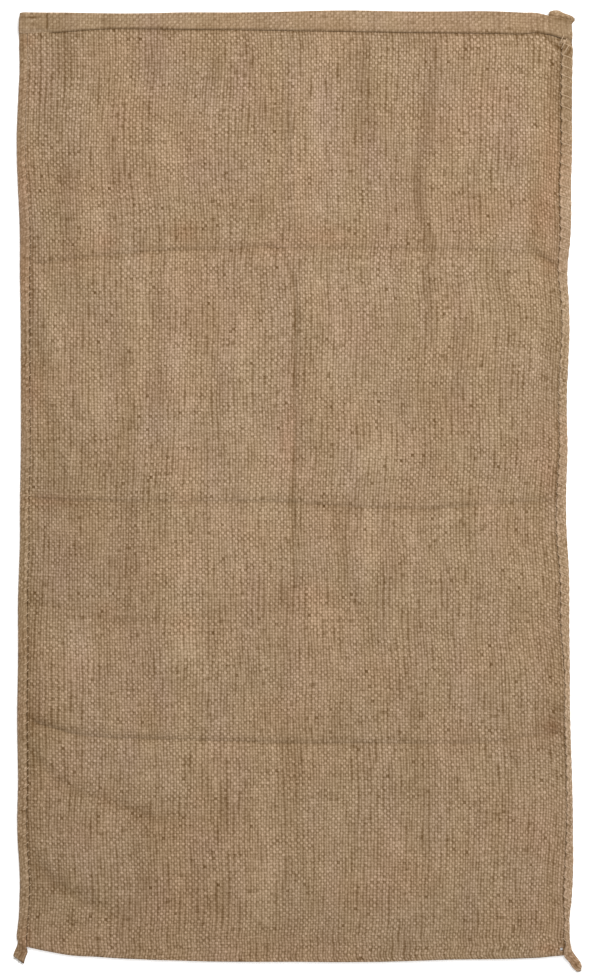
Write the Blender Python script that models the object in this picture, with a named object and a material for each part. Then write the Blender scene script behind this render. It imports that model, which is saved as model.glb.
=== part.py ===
"""An empty jute sack lying flat on the floor, mouth towards +Y.

Three pieces, as a sack maker would list them: one length of hessian folded across the bottom with its
ends turned as mouth hems, and the two side seams, each a sewn ridge whose ends run on as tails.
Every table is in millimetres: "across" is measured from the sack's middle line, "up" from the lowest
point of the bottom fold.
"""

import math
from collections import namedtuple

import bpy
import numpy as np

MM = 0.001

# The cloth.
CLOTH = 1.3  # thickness of one layer
HEM = 2.9  # thickness of the turned hem
HEM_DEEP = 19.0  # from the mouth edge to the hem's lower edge
HEM_STEP = 0.8  # run over which the hem's edge steps down to the single cloth
HELD = 4.6  # height of the two layers at the bottom fold and beside the seams
LOFT = 11.6  # height of the upper layer over the middle of the sack
SIDE_RISE = 58.0  # how far in from a seam the upper layer takes to rise
FOLD_RISE = 90.0  # how far up from the bottom fold it takes to rise

# The seams.
RIDGE_HIGH = 5.6
GAP = 0.3  # between a seam and the cloth it is sewn to

# Outer edges of the two seams, and how wide the sewn ridges lie, at heights up the sack.
Side = namedtuple("Side", "up left left_ridge right right_ridge")
SIDES = (
    Side(8, -302, 10.5, 303.5, 9.5),
    Side(18, -303, 11, 301, 8),
    Side(35, -301.5, 10, 299, 6),
    Side(68, -299.5, 10, 301, 8.5),
    Side(100, -299.5, 9.5, 302.5, 9),
    Side(133, -301.5, 9.5, 302.5, 7.5),
    Side(198, -301, 9.5, 301.5, 6),
    Side(264, -302, 10, 299.5, 6),
    Side(330, -301, 9.5, 299, 6.5),
    Side(362, -301, 9.5, 298.5, 9),
    Side(395, -301, 9.5, 298.5, 9.5),
    Side(427, -300, 9, 298, 10),
    Side(460, -299, 9, 296, 11),
    Side(493, -299, 9, 295, 10.5),
    Side(558, -298, 9.5, 296.5, 9),
    Side(623, -298, 9, 296, 9),
    Side(656, -298, 9, 297.5, 9),
    Side(720, -298.5, 9.5, 298, 8.5),
    Side(754, -299, 10, 296.5, 10),
    Side(787, -299, 10.5, 299.5, 11),
    Side(852, -301.5, 9.5, 300.5, 12.5),
    Side(885, -302.5, 9, 301.5, 12),
    Side(918, -302, 9, 301.5, 12),
    Side(950, -300.5, 9, 301.5, 12),
    Side(983, -299.5, 9, 302.5, 12),
    Side(1019, -300.5, 9.5, 301, 11.5),
    Side(1036, -299, 10, 301, 11.5),
)

# Lines that cross the sack: the mouth edge, the three pressed creases and the bottom fold.
Line = namedtuple("Line", "across mouth crease_1 crease_2 crease_3 fold")
LINES = (
    Line(-291, 1034, 765, 509, 264, 16.5),
    Line(-266, 1034, 768, 507, 257, 11),
    Line(-212, 1033, 774, 505, 247, 5.5),
    Line(-168, 1033, 778, 504, 245, 3),
    Line(-125, 1034, 780, 504, 244, 1.5),
    Line(-60, 1034, 781, 504, 242, 0.3),
    Line(-2, 1035, 781, 503, 240, 0.3),
    Line(60, 1036, 780, 499, 240, 0),
    Line(118, 1035, 780, 496, 240, 1),
    Line(170, 1035, 779, 496, 240, 2.7),
    Line(221, 1035, 777, 500, 243, 3.3),
    Line(252, 1034, 775, 502, 248, 4.3),
    Line(266, 1033, 771, 503, 250, 5),
    Line(272, 1029.5, 769, 503, 250, 5.6),
    Line(291, 1028, 762, 504, 253, 7.3),
)

# How far each pressed crease sinks into the upper layer, at the left seam, the middle and the right.
Crease = namedtuple("Crease", "left middle right half_width")
CREASES = (
    Crease(1.5, 1.2, 0.5, 9),
    Crease(1.3, 1.1, 0.8, 9),
    Crease(1.6, 1.5, 1.3, 8),
)

# The crease down the middle, strongest between the first two cross creases.
Spine = namedtuple("Spine", "up depth")
SPINE_ACROSS = -2
SPINE_HALF_WIDTH = 11
SPINE = (
    Spine(0, 0.4),
    Spine(140, 1.0),
    Spine(220, 0.3),
    Spine(400, 0.6),
    Spine(480, 1.3),
    Spine(770, 1.5),
    Spine(810, 0.3),
    Spine(1036, 0.2),
)

# Soft bends between the creases: long waves of the given height, turned from the sack's length.
Wave = namedtuple("Wave", "length turn start height")
WAVES = (
    Wave(310, 25, 0.3, 0.4),
    Wave(190, -38, 1.9, 0.3),
    Wave(120, 70, 4.0, 0.15),
)

# How finely the cloth is stepped.
ROW_STEPS = 5  # rows between one crease and the next
COLUMN_STEPS = 2  # columns between two rows of LINES
ROUND_STEPS = 4  # round the bottom fold
HEM_ROWS = 2  # a column's first rows are the turned hem

# A seam's cross-section, as shares of its width (inner to outer) and of its height.
RIDGE_SHAPE = (
    (0.0, 0.10),
    (0.0, 0.62),
    (0.16, 0.93),
    (0.45, 1.0),
    (0.78, 0.92),
    (1.0, 0.60),
    (1.0, 0.14),
    (0.86, 0.0),
    (0.08, 0.0),
)

# The seam tails, section by section away from the ridge: each runs from an inner to an outer point.
Tail = namedtuple("Tail", "inner inner_up outer outer_up high")
LEFT_TAIL = (
    Tail(-292.2, 14.5, -301.8, 17.4, 4.6),
    Tail(-291.6, 10.5, -304.0, 12.5, 3.4),
    Tail(-293.3, 6.0, -305.6, 8.6, 3.0),
    Tail(-295.4, -2.2, -306.8, 6.0, 2.6),
)
RIGHT_TAIL = (
    Tail(294.4, 6.8, 304.4, 9.0, 5.0),
    Tail(296.9, 3.4, 306.8, 5.7, 4.4),
    Tail(299.9, -0.4, 309.6, 1.9, 4.0),
    Tail(303.1, -4.9, 312.3, -2.7, 3.6),
    Tail(306.3, -8.6, 312.9, -7.1, 3.2),
    Tail(309.0, -11.2, 311.8, -10.9, 2.2),
)
TURNED_TAIL = (
    Tail(289.8, 1021.0, 301.4, 1021.5, 5.4),
    Tail(292.2, 1026.8, 305.5, 1027.6, 4.4),
    Tail(289.6, 1029.4, 293.5, 1034.8, 3.8),
    Tail(283.0, 1029.8, 284.5, 1037.6, 3.4),
    Tail(276.8, 1029.9, 278.2, 1036.3, 3.0),
)

# Colours from jute: the cloth, and the slightly redder twine and rolled edge of the seams.
HESSIAN = (0.356, 0.238, 0.141)
SEWN_EDGE = (0.330, 0.215, 0.128)
JUTE_ROUGHNESS = 0.92


def look_up(table, key, value, column):
    """The value of a table's column at a place along its key column, straight between rows."""
    places = [getattr(row, key) for row in table]
    values = [getattr(row, column) for row in table]
    return float(np.interp(value, places, values))


def line_height(name, across):
    """The height up the sack at which one of the cross lines passes a place across it."""
    return look_up(LINES, "across", across, name)


def crease_lines(across):
    """Each pressed crease with its height up the sack on one column."""
    names = ("crease_1", "crease_2", "crease_3")
    return [(crease, line_height(name, across)) for crease, name in zip(CREASES, names)]


def ridge_inner(side, up):
    """The inner edge of a seam's ridge, measured across, at a height up the sack."""
    outer = look_up(SIDES, "up", up, side)
    width = look_up(SIDES, "up", up, side + "_ridge")
    return outer + width if side == "left" else outer - width


def cloth_across(share, up):
    """The place across at a share of the cloth's width between the two seams."""
    left = ridge_inner("left", up) + GAP
    right = ridge_inner("right", up) - GAP
    return left + (right - left) * share


def smooth(share):
    """A soft step from 0 to 1."""
    share = min(max(share, 0.0), 1.0)
    return share * share * (3 - 2 * share)


def trough(distance, half_width):
    """A rounded trough's profile: 1 on its line, 0 past its half width."""
    return 1 - smooth(abs(distance) / half_width)


def soft_bends(across, up):
    """The long waves of the upper layer."""
    bend = 0.0
    for wave in WAVES:
        turn = math.radians(wave.turn)
        along = up * math.cos(turn) + across * math.sin(turn)
        bend += wave.height * math.sin(2 * math.pi * along / wave.length + wave.start)
    return bend


def pressed_creases(across, up):
    """How far the pressed creases sink into the upper layer."""
    sunk = look_up(SPINE, "up", up, "depth") * trough(across - SPINE_ACROSS, SPINE_HALF_WIDTH)
    half = LINES[-1].across
    for crease, line in crease_lines(across):
        depth = np.interp(across, (-half, 0, half), (crease.left, crease.middle, crease.right))
        sunk += depth * trough(up - line, crease.half_width)
    return sunk


def upper_layer(across, up):
    """Height above the floor of the upper layer's underside.

    It is held down beside the seams and along the bottom fold, and rises from them to its loft.
    """
    to_seam = min(across - LINES[0].across, LINES[-1].across - across)
    to_fold = up - line_height("fold", across)
    rise = smooth(to_seam / SIDE_RISE) * smooth(to_fold / FOLD_RISE)
    held = HELD - CLOTH
    loft = LOFT - CLOTH + soft_bends(across, up) - pressed_creases(across, up)
    return held + (loft - held) * rise


def columns():
    """Places across the sack of the cloth's columns."""
    found = [LINES[0].across]
    for left, right in zip(LINES, LINES[1:]):
        width = right.across - left.across
        found += [left.across + width * step / COLUMN_STEPS for step in range(1, COLUMN_STEPS + 1)]
    return found


def rows(across):
    """Heights up the sack of one column's rows, from the mouth down to the start of the bottom fold."""
    mouth = line_height("mouth", across)
    found = [mouth, mouth - HEM_DEEP + HEM_STEP, mouth - HEM_DEEP]
    steps = [step / ROW_STEPS for step in range(1, ROW_STEPS + 1)]
    for crease, line in crease_lines(across):
        top = found[-1]
        above = line + crease.half_width
        found += [top + (above - top) * step for step in steps]
        found += [line, line - crease.half_width]
    top = found[-1]
    fold = line_height("fold", across) + HELD / 2
    # These rows close up towards the fold, where the cloth bends most.
    found += [top + (fold - top) * math.sin(step * math.pi / 2) for step in steps]
    return found


def section(across):
    """One column of the cloth, as two lists of points: round its outside and round its inside.

    Both run down the upper layer from the mouth, round the bottom fold and back up the lower layer.
    """
    share = (across - LINES[0].across) / (LINES[-1].across - LINES[0].across)
    heights = rows(across)
    upper_outside = []
    upper_inside = []
    lower_outside = []
    lower_inside = []
    for row, up in enumerate(heights):
        thick = HEM if row < HEM_ROWS else CLOTH
        place = cloth_across(share, up)
        under = upper_layer(across, up) if up > heights[-1] else HELD - CLOTH
        upper_outside.append((place, up, under + thick))
        upper_inside.append((place, up, under))
        lower_outside.append((place, up, 0.0))
        lower_inside.append((place, up, thick))

    fold_place = cloth_across(share, heights[-1])
    round_outside = []
    round_inside = []
    for step in range(1, ROUND_STEPS):
        angle = math.pi * step / ROUND_STEPS
        for points, radius in ((round_outside, HELD / 2), (round_inside, HELD / 2 - CLOTH)):
            up = heights[-1] - radius * math.sin(angle)
            points.append((fold_place, up, HELD / 2 + radius * math.cos(angle)))

    outside = upper_outside + round_outside + lower_outside[::-1]
    inside = upper_inside + round_inside + lower_inside[::-1]
    return outside, inside


def mesh_object(name, vertices, faces, material):
    """A named object whose mesh is given in millimetres."""
    mesh = bpy.data.meshes.new(name)
    mesh.from_pydata([(x * MM, y * MM, z * MM) for x, y, z in vertices], [], faces)
    mesh.shade_smooth()
    mesh.set_sharp_from_angle(angle=math.radians(40))
    mesh.materials.append(material)
    thing = bpy.data.objects.new(name, mesh)
    bpy.context.collection.objects.link(thing)
    return thing


def jute(name, colour):
    """A plain dull jute colour."""
    material = bpy.data.materials.new(name)
    material.use_nodes = True
    shader = material.node_tree.nodes["Principled BSDF"]
    shader.inputs["Base Color"].default_value = (*colour, 1)
    shader.inputs["Roughness"].default_value = JUTE_ROUGHNESS
    shader.inputs["Metallic"].default_value = 0.0
    return material


def bridge(loops):
    """Faces that join closed loops of equal length one after the other."""
    count = len(loops[0])
    faces = []
    for base in range(0, (len(loops) - 1) * count, count):
        for index in range(count):
            following = (index + 1) % count
            faces.append((base + index, base + following, base + count + following, base + count + index))
    return faces


def sack_cloth(material):
    """The folded length of cloth, as one U-shaped sheet with a turned hem at each end."""
    loops = []
    for across in columns():
        outside, inside = section(across)
        loops.append(outside + inside[::-1])
    faces = bridge(loops)
    # The two side edges: strips of quads between the outside and the inside of the end columns.
    count = len(loops[0])
    last = (len(loops) - 1) * count
    for out in range(len(outside) - 1):
        back = count - 1 - out
        faces.append((out, back, back - 1, out + 1))
        faces.append((last + out + 1, last + back - 1, last + back, last + out))
    return mesh_object("sack_cloth", [point for loop in loops for point in loop], faces, material)


def ridge_section(side, up):
    """The ridge beside one row of the cloth, given the way a tail's section is."""
    return Tail(ridge_inner(side, up), up, look_up(SIDES, "up", up, side), up, RIDGE_HIGH)


def seam_loop(row):
    """The points round one cross-section of a seam."""
    loop = []
    for across_share, height_share in RIDGE_SHAPE:
        across = row.inner + (row.outer - row.inner) * across_share
        up = row.inner_up + (row.outer_up - row.inner_up) * across_share
        loop.append((across, up, row.high * height_share))
    return loop


def seam(name, side, top_tail, bottom_tail, material):
    """A side seam: the ridge beside the cloth, run on through its tails."""
    edge = LINES[0] if side == "left" else LINES[-1]
    ridge = [ridge_section(side, up) for up in rows(edge.across)]
    if top_tail:
        ridge = [row for row in ridge if row.inner_up < top_tail[0].inner_up]
    loops = [seam_loop(row) for row in (*top_tail[::-1], *ridge, *bottom_tail)]
    if side == "right":
        loops = [loop[::-1] for loop in loops]
    count = len(RIDGE_SHAPE)
    last = (len(loops) - 1) * count
    faces = bridge(loops)
    faces.append(tuple(range(count - 1, -1, -1)))
    faces.append(tuple(range(last, last + count)))
    return mesh_object(name, [point for loop in loops for point in loop], faces, material)


def centre_on_floor(pieces):
    """Moves the pieces together so that their box stands centred on the origin."""
    points = np.array([vertex.co for piece in pieces for vertex in piece.data.vertices])
    low = points.min(axis=0)
    high = points.max(axis=0)
    middle = (low + high) / 2
    for piece in pieces:
        piece.location = (-middle[0], -middle[1], -low[2])


def main():
    for thing in list(bpy.data.objects):
        bpy.data.objects.remove(thing)
    hessian = jute("hessian", HESSIAN)
    sewn_edge = jute("sewn_edge", SEWN_EDGE)
    pieces = [
        sack_cloth(hessian),
        seam("seam_left", "left", (), LEFT_TAIL, sewn_edge),
        seam("seam_right", "right", TURNED_TAIL, RIGHT_TAIL, sewn_edge),
    ]
    centre_on_floor(pieces)


main()
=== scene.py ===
"""The looks of an empty jute sack lying flat on a pale floor, its mouth towards +Y, seen from above.

Sizes and places are in the sack's own millimetres: "across" is measured from its middle line towards +X,
"up" from the lowest point of the bottom fold towards the mouth, and "high" from the floor.
"""

import math
from collections import namedtuple

import bpy
import numpy as np
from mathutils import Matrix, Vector, noise


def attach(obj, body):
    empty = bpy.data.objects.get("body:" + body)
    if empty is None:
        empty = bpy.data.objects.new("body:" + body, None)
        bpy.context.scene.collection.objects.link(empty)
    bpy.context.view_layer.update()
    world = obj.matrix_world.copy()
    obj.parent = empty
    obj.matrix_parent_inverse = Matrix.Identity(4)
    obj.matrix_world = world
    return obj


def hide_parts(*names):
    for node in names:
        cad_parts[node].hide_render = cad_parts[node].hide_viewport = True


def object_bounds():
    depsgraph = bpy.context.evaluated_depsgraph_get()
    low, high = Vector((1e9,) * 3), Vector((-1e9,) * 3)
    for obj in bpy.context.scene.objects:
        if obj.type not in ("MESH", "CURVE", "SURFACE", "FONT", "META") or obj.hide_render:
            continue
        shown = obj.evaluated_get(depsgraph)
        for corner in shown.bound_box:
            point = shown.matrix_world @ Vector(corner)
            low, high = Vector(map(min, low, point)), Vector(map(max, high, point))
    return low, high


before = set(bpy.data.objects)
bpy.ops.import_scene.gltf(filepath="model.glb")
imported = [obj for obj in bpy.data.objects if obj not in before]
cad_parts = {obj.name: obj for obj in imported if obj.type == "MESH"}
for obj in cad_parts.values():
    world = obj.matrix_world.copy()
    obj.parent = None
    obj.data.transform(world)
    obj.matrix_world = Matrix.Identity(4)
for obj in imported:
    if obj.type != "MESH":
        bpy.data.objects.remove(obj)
CAD_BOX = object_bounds()

MM = 0.001

# The sack's outline reaches this far left and down from its own zero, at the tips of its two lower tails.
LOWEST_ACROSS = -306.8
LOWEST_UP = -11.2
ZERO = Vector((CAD_BOX[0].x - LOWEST_ACROSS * MM, CAD_BOX[0].y - LOWEST_UP * MM, CAD_BOX[0].z))

# The cloth.
CLOTH = 1.3  # thickness of one layer
HEM_SLACK = 0.3  # between the turned hem and the cloth under it
HEM_DEEP = 19.0  # the hem of the lower layer, from the mouth edge down
HEM_STEP = 3.0  # run over which the lower layer steps up onto its own turned hem
HEM_ROLL = 2.2  # run over which the hem's lower edge is rolled under
HEM_ROLLED = 1.1  # how far down it is rolled
SEWN_ROLL = 3.0  # how much longer that run is at the hem's two sewn ends
SEWN_ROLLED = 1.3  # and how much further down it goes there
# The hem's rolled edge is painted darker, as painted shade, where it stands free.
HEM_EDGE_SHADE = 30  # how much darker the rolled edge is, in hundredths
HEM_PAST_LEFT = 0.2  # how far the hem's ends reach past the seams' outer edges
HEM_PAST_RIGHT = 0.3
MOUTH_SHADE = -3  # how much darker the cloth is where it turns over the mouth edge, in hundredths
BLOCK = 271.0  # how far out from the middle the folded blocks at the hem's two ends begin
BLOCK_LEFT = -268.8  # where the left block stands up over the hem
BLOCK_RIGHT = 271.5  # and the right block
BLOCK_EDGE = 1.6  # run over which they do
BLOCK_GROOVE = -269.8  # where a groove runs beside the left block
HEM_FREE_LEFT = -262.0  # the hem's lower edge stands free of the cloth from here
HEM_FREE_RIGHT = 284.0  # to here
HELD = 4.6  # height of the two layers at the bottom fold and beside the seams
PRESSED = 0.8  # how much lower the cloth's edge is pressed by the stitches
PRESSED_REACH = 7.0  # how far in from the edge that is felt
LOFT = 11.6  # height of the upper layer over the middle of the sack
SIDE_RISE = 58.0  # how far in from a seam the upper layer takes to rise
FOLD_RISE = 90.0  # how far up from the bottom fold it takes to rise
TURN_STEPS = 5  # rows of the cloth's mesh round each mouth edge, plus one
FOLD_STEPS = 7  # and round the bottom fold
# Shares of the lower layer's length at which its first rows lie, close together by the bottom fold.
NEAR_FOLD = (0, 0.0013, 0.0026, 0.0039, 0.0052, 0.0065, 0.008, 0.011, 0.018)
SEAM_SHADOW = 26  # how much darker the cloth is beside a seam, in hundredths
HEM_SHADOW = 23  # and under the hem's edge
SHADOW_REACH = 2.2  # how far either shadow reaches
RIDGE_HIGH = 5.6  # height of a seam's ridge
GAP = 0.3  # between a seam and the cloth it is sewn to

# The weave: warp threads run up the sack, so many between its two seams, and picks of weft across it.
WARP_ENDS = 187
PICK = 3.13

# Outer edges of the two seams, and how wide the sewn ridges lie, at heights up the sack.
Side = namedtuple("Side", "up left left_ridge right right_ridge")
SIDES = (
    Side(8, -302, 10.5, 303.5, 9.5),
    Side(18, -303, 11, 301.2, 5.4),
    Side(26, -302.9, 10.6, 299.8, 7.3),
    Side(35, -301.8, 10, 299, 6),
    Side(68, -299.5, 10, 301, 8.5),
    Side(100, -299.5, 9.5, 302.5, 9),
    Side(133, -301.5, 9.5, 302.5, 7.5),
    Side(198, -301, 9.5, 301.5, 6),
    Side(264, -302, 10, 299.5, 6),
    Side(330, -301, 9.5, 299, 6.5),
    Side(362, -301, 9.5, 298.5, 9),
    Side(395, -301, 9.5, 298.5, 9.5),
    Side(427, -300, 9, 298, 10),
    Side(460, -299, 9, 296, 11),
    Side(493, -299, 9, 295, 10.5),
    Side(558, -298, 9.5, 296.5, 9),
    Side(623, -298, 9, 296, 9),
    Side(656, -298, 9, 297.5, 9),
    Side(720, -298.5, 9.5, 298, 8.5),
    Side(754, -299, 10, 296.5, 10),
    Side(787, -299, 10.5, 299.5, 11),
    Side(852, -301.5, 9.5, 300.5, 12.5),
    Side(885, -302.5, 9, 301.5, 12),
    Side(918, -302, 9, 301.5, 12),
    Side(950, -300.5, 9, 301.5, 12),
    Side(983, -299.5, 9, 302.1, 12),
    Side(1003, -300.2, 9.3, 302.3, 12.2),
    Side(1019, -300.5, 9.5, 302, 12),
    Side(1036, -299, 10, 301.4, 11.5),
)

# Lines that cross the sack: the mouth edge, the hem's lower edge, the three pressed creases and the
# bottom fold.
Line = namedtuple("Line", "across mouth hem crease_1 crease_2 crease_3 fold")
LINES = (
    Line(-291, 1035.4, 1013, 760, 506, 263, 16),
    Line(-266, 1034.6, 1012.5, 763, 504, 256, 10.5),
    Line(-212, 1033.2, 1015.5, 769, 502.5, 245.5, 5),
    Line(-168, 1033, 1016, 773, 501.5, 243.5, 2.5),
    Line(-125, 1034, 1015.5, 775.5, 501.5, 242.5, 1),
    Line(-60, 1034, 1015, 777, 501.5, 240.5, -0.3),
    Line(-2, 1035, 1014, 777.5, 500.5, 238.5, -0.3),
    Line(60, 1036, 1013, 776.5, 496.5, 238.5, -0.6),
    Line(118, 1035, 1012, 776.5, 494.5, 238.5, 0.4),
    Line(170, 1035, 1011.5, 776, 495, 238.5, 2.1),
    Line(221, 1035, 1011, 774, 499, 241.5, 2.7),
    Line(252, 1034, 1011, 772, 501, 246.5, 3.7),
    Line(266, 1034, 1012.3, 768.5, 502, 248.5, 4.4),
    Line(270, 1033.4, 1011.8, 767, 502, 248.5, 4.8),
    Line(278, 1031, 1009.7, 764.5, 502, 249, 5.6),
    Line(283, 1029.8, 1007.2, 763, 502, 249.5, 6),
    Line(291, 1027.2, 1003, 760, 503, 251.5, 6.7),
)
EDGE = LINES[-1].across

# The pressed creases: how deep at places across the sack, how far their two walls reach, how much
# darker their line is painted where they are 1 mm deep, as painted shade and crushed fibres, and how
# far down from the line that shows.
Crease = namedtuple("Crease", "line left mid_left middle mid_right right above below worn faded")
CREASES = (
    Crease("crease_1", 1.3, 2.0, 1.3, 1.0, 0.9, 9, 22, -6.0, 5),
    Crease("crease_2", 2.5, 1.2, 1.9, 1.6, 1.3, 8, 20, -4.6, 9),
    Crease("crease_3", 3.0, 2.4, 2.3, 1.7, 1.2, 9, 20, -3.6, 3.4),
)
SHADE_AND_WEAR_REACH = 3.4  # how far it shows up from the line, and to both sides of the middle crease
CREASE_UNEVEN = 0.45  # the share by which a crease is deeper and shallower by turns

# The crease down the middle: how deep it is and how much darker its line is painted, as painted shade and
# crushed fibres, and how far its walls reach.
Spine = namedtuple("Spine", "up depth worn")
SPINE_ACROSS = 0.0
SPINE_REACH = 12
SPINE = (
    Spine(0, 0.3, -1),
    Spine(120, 0.7, -4),
    Spine(215, 0.8, -4),
    Spine(260, 0.4, -2),
    Spine(400, 0.9, -6),
    Spine(440, 1.5, -13),
    Spine(500, 2.1, -21),
    Spine(600, 2.3, -23),
    Spine(700, 2.2, -17),
    Spine(735, 1.6, -9),
    Spine(770, 0.2, -1),
    Spine(1036, 0.1, 0),
)

# Soft bends between the creases: long waves of the given height, turned from the sack's length.
Wave = namedtuple("Wave", "length turn start height")
WAVES = (
    Wave(310, 25, 0.3, 0.4),
    Wave(190, -38, 1.9, 0.3),
    Wave(120, 70, 4.0, 0.15),
)

# Smaller folds, each along a route of (across, up, strength): how far its walls reach, how deep it sinks
# (a ridge is less than 0) and how many hundredths darker its line is painted, mostly as painted shade,
# and lighter on a crest as painted light.
Fold = namedtuple("Fold", "name reach deep shade route")
BLOCK_ROUTE = ((BLOCK_GROOVE, 1036, 0.7), (BLOCK_GROOVE, 1017, 0.9))
BLOCK_FOLD = Fold("groove beside the left hem block", 1.8, 1.0, -46, BLOCK_ROUTE)
FOLDS = (
    Fold("pulled in at crease_1's right end", 6, 1.6, -14, ((256, 779, 0.5), (271, 769, 1), (288, 757, 1))),
    Fold("left prong of the fork", 5, 0.9, -11,
         ((-70, 780, 0.3), (-38, 781, 0.7), (-14, 776, 1), (-4, 752, 1), (-1, 735, 0.9), (1, 705, 0.6))),
    Fold("right prong of the fork", 5, 0.6, -8, ((15, 779, 0.6), (7, 758, 1), (-1, 738, 0.8))),
    Fold("left, under crease_2", 6, 1.1, -9,
         ((-288, 393, 1), (-262, 390, 0.9), (-226, 384, 0.7), (-200, 373, 0.7),
          (-150, 372, 0.5), (-84, 379, 0.4))),
    Fold("left, under crease_3", 11, 1.6, -12,
         ((-288, 231, 0.8), (-262, 200, 0.9), (-232, 184, 1), (-201, 177, 1), (-165, 161, 1),
          (-147, 156, 0.8), (-110, 158, 0.4), (-78, 166, 0.5))),
    Fold("bottom left", 13, 1.6, -12,
         ((-292, 120, 0.9), (-262, 86, 1), (-228, 66, 0.9), (-195, 52, 0.6), (-170, 38, 0.3))),
    Fold("left arc's crest", 13, -0.9, 6,
         ((-284, 754, 0.7), (-268, 700, 1), (-250, 634, 1), (-214, 590, 0.6))),
    Fold("left arc's valley", 10, 1.1, -8,
         ((-284, 690, 0.7), (-276, 640, 0.8), (-272, 600, 0.8), (-262, 545, 0.8), (-248, 522, 0.5))),
    Fold("left arc's second valley", 11, 0.8, -6, ((-281, 612, 0.8), (-250, 575, 0.9), (-212, 536, 0.8))),
    Fold("short arc below crease_1", 9, 0.8, -7,
         ((-248, 800, 0.5), (-244, 765, 0.9), (-234, 725, 1), (-217, 704, 0.8),
          (-199, 688, 0.8), (-188, 655, 0.7))),
    Fold("slanted valley right of the middle", 8, 0.7, -6,
         ((38, 505, 0.7), (50, 470, 1), (58, 430, 1), (69, 388, 0.9), (84, 350, 0.6))),
    Fold("slanted valley above it", 8, 0.5, -4,
         ((46, 705, 0.6), (58, 675, 1), (74, 652, 0.9), (96, 636, 0.6))),
    Fold("long upright valley left of the middle", 10, 0.8, -7,
         ((-196, 760, 0.5), (-200, 700, 0.6), (-190, 655, 0.9), (-182, 600, 0.8), (-180, 530, 0.8),
          (-178, 430, 0.6), (-182, 370, 0.6))),
    Fold("upright pleat right of the middle", 9, 0.6, -19,
         ((151, 1000, 0.4), (149, 950, 0.6), (141, 890, 0.9), (134, 862, 1), (135, 840, 1), (141, 805, 0.9),
          (147, 785, 0.8), (145, 690, 0.4))),
    Fold("second fold under the hem's right end", 2.8, 1.2, -56,
         ((273.5, 1008, 0.5), (281, 1001.5, 1), (288.5, 994.8, 1))),
    Fold("slack pick on the left", 2.2, 0.4, -19,
         ((-288, 793.4, 0.8), (-274, 794.6, 1), (-261, 795.4, 0.7))),
    Fold("slack pick low on the right", 5, 0.4, -4, ((40, 345, 0.6), (75, 345, 0.9), (120, 346, 0.7))),
    Fold("slack pick above it", 5, 0.4, -4, ((112, 429, 0.7), (150, 432, 0.9), (190, 424, 0.7))),
    Fold("short fold on the right", 6, 0.7, -6, ((232, 391, 0.6), (250, 383, 1), (280, 364, 0.7))),
    Fold("groove beside the right tail", 2.6, 0.8, -22, ((290.5, 26, 0.8), (292.5, 20, 1))),
    BLOCK_FOLD,
)

# A soft-edged place: its middle, its half sizes, its shade or strength, and its turn in degrees.
Patch = namedtuple("Patch", "across up wide tall shade turn", defaults=(0,))


def patches(*rows):
    """Patches from rows of their numbers."""
    return tuple(Patch(*row) for row in rows)


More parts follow.
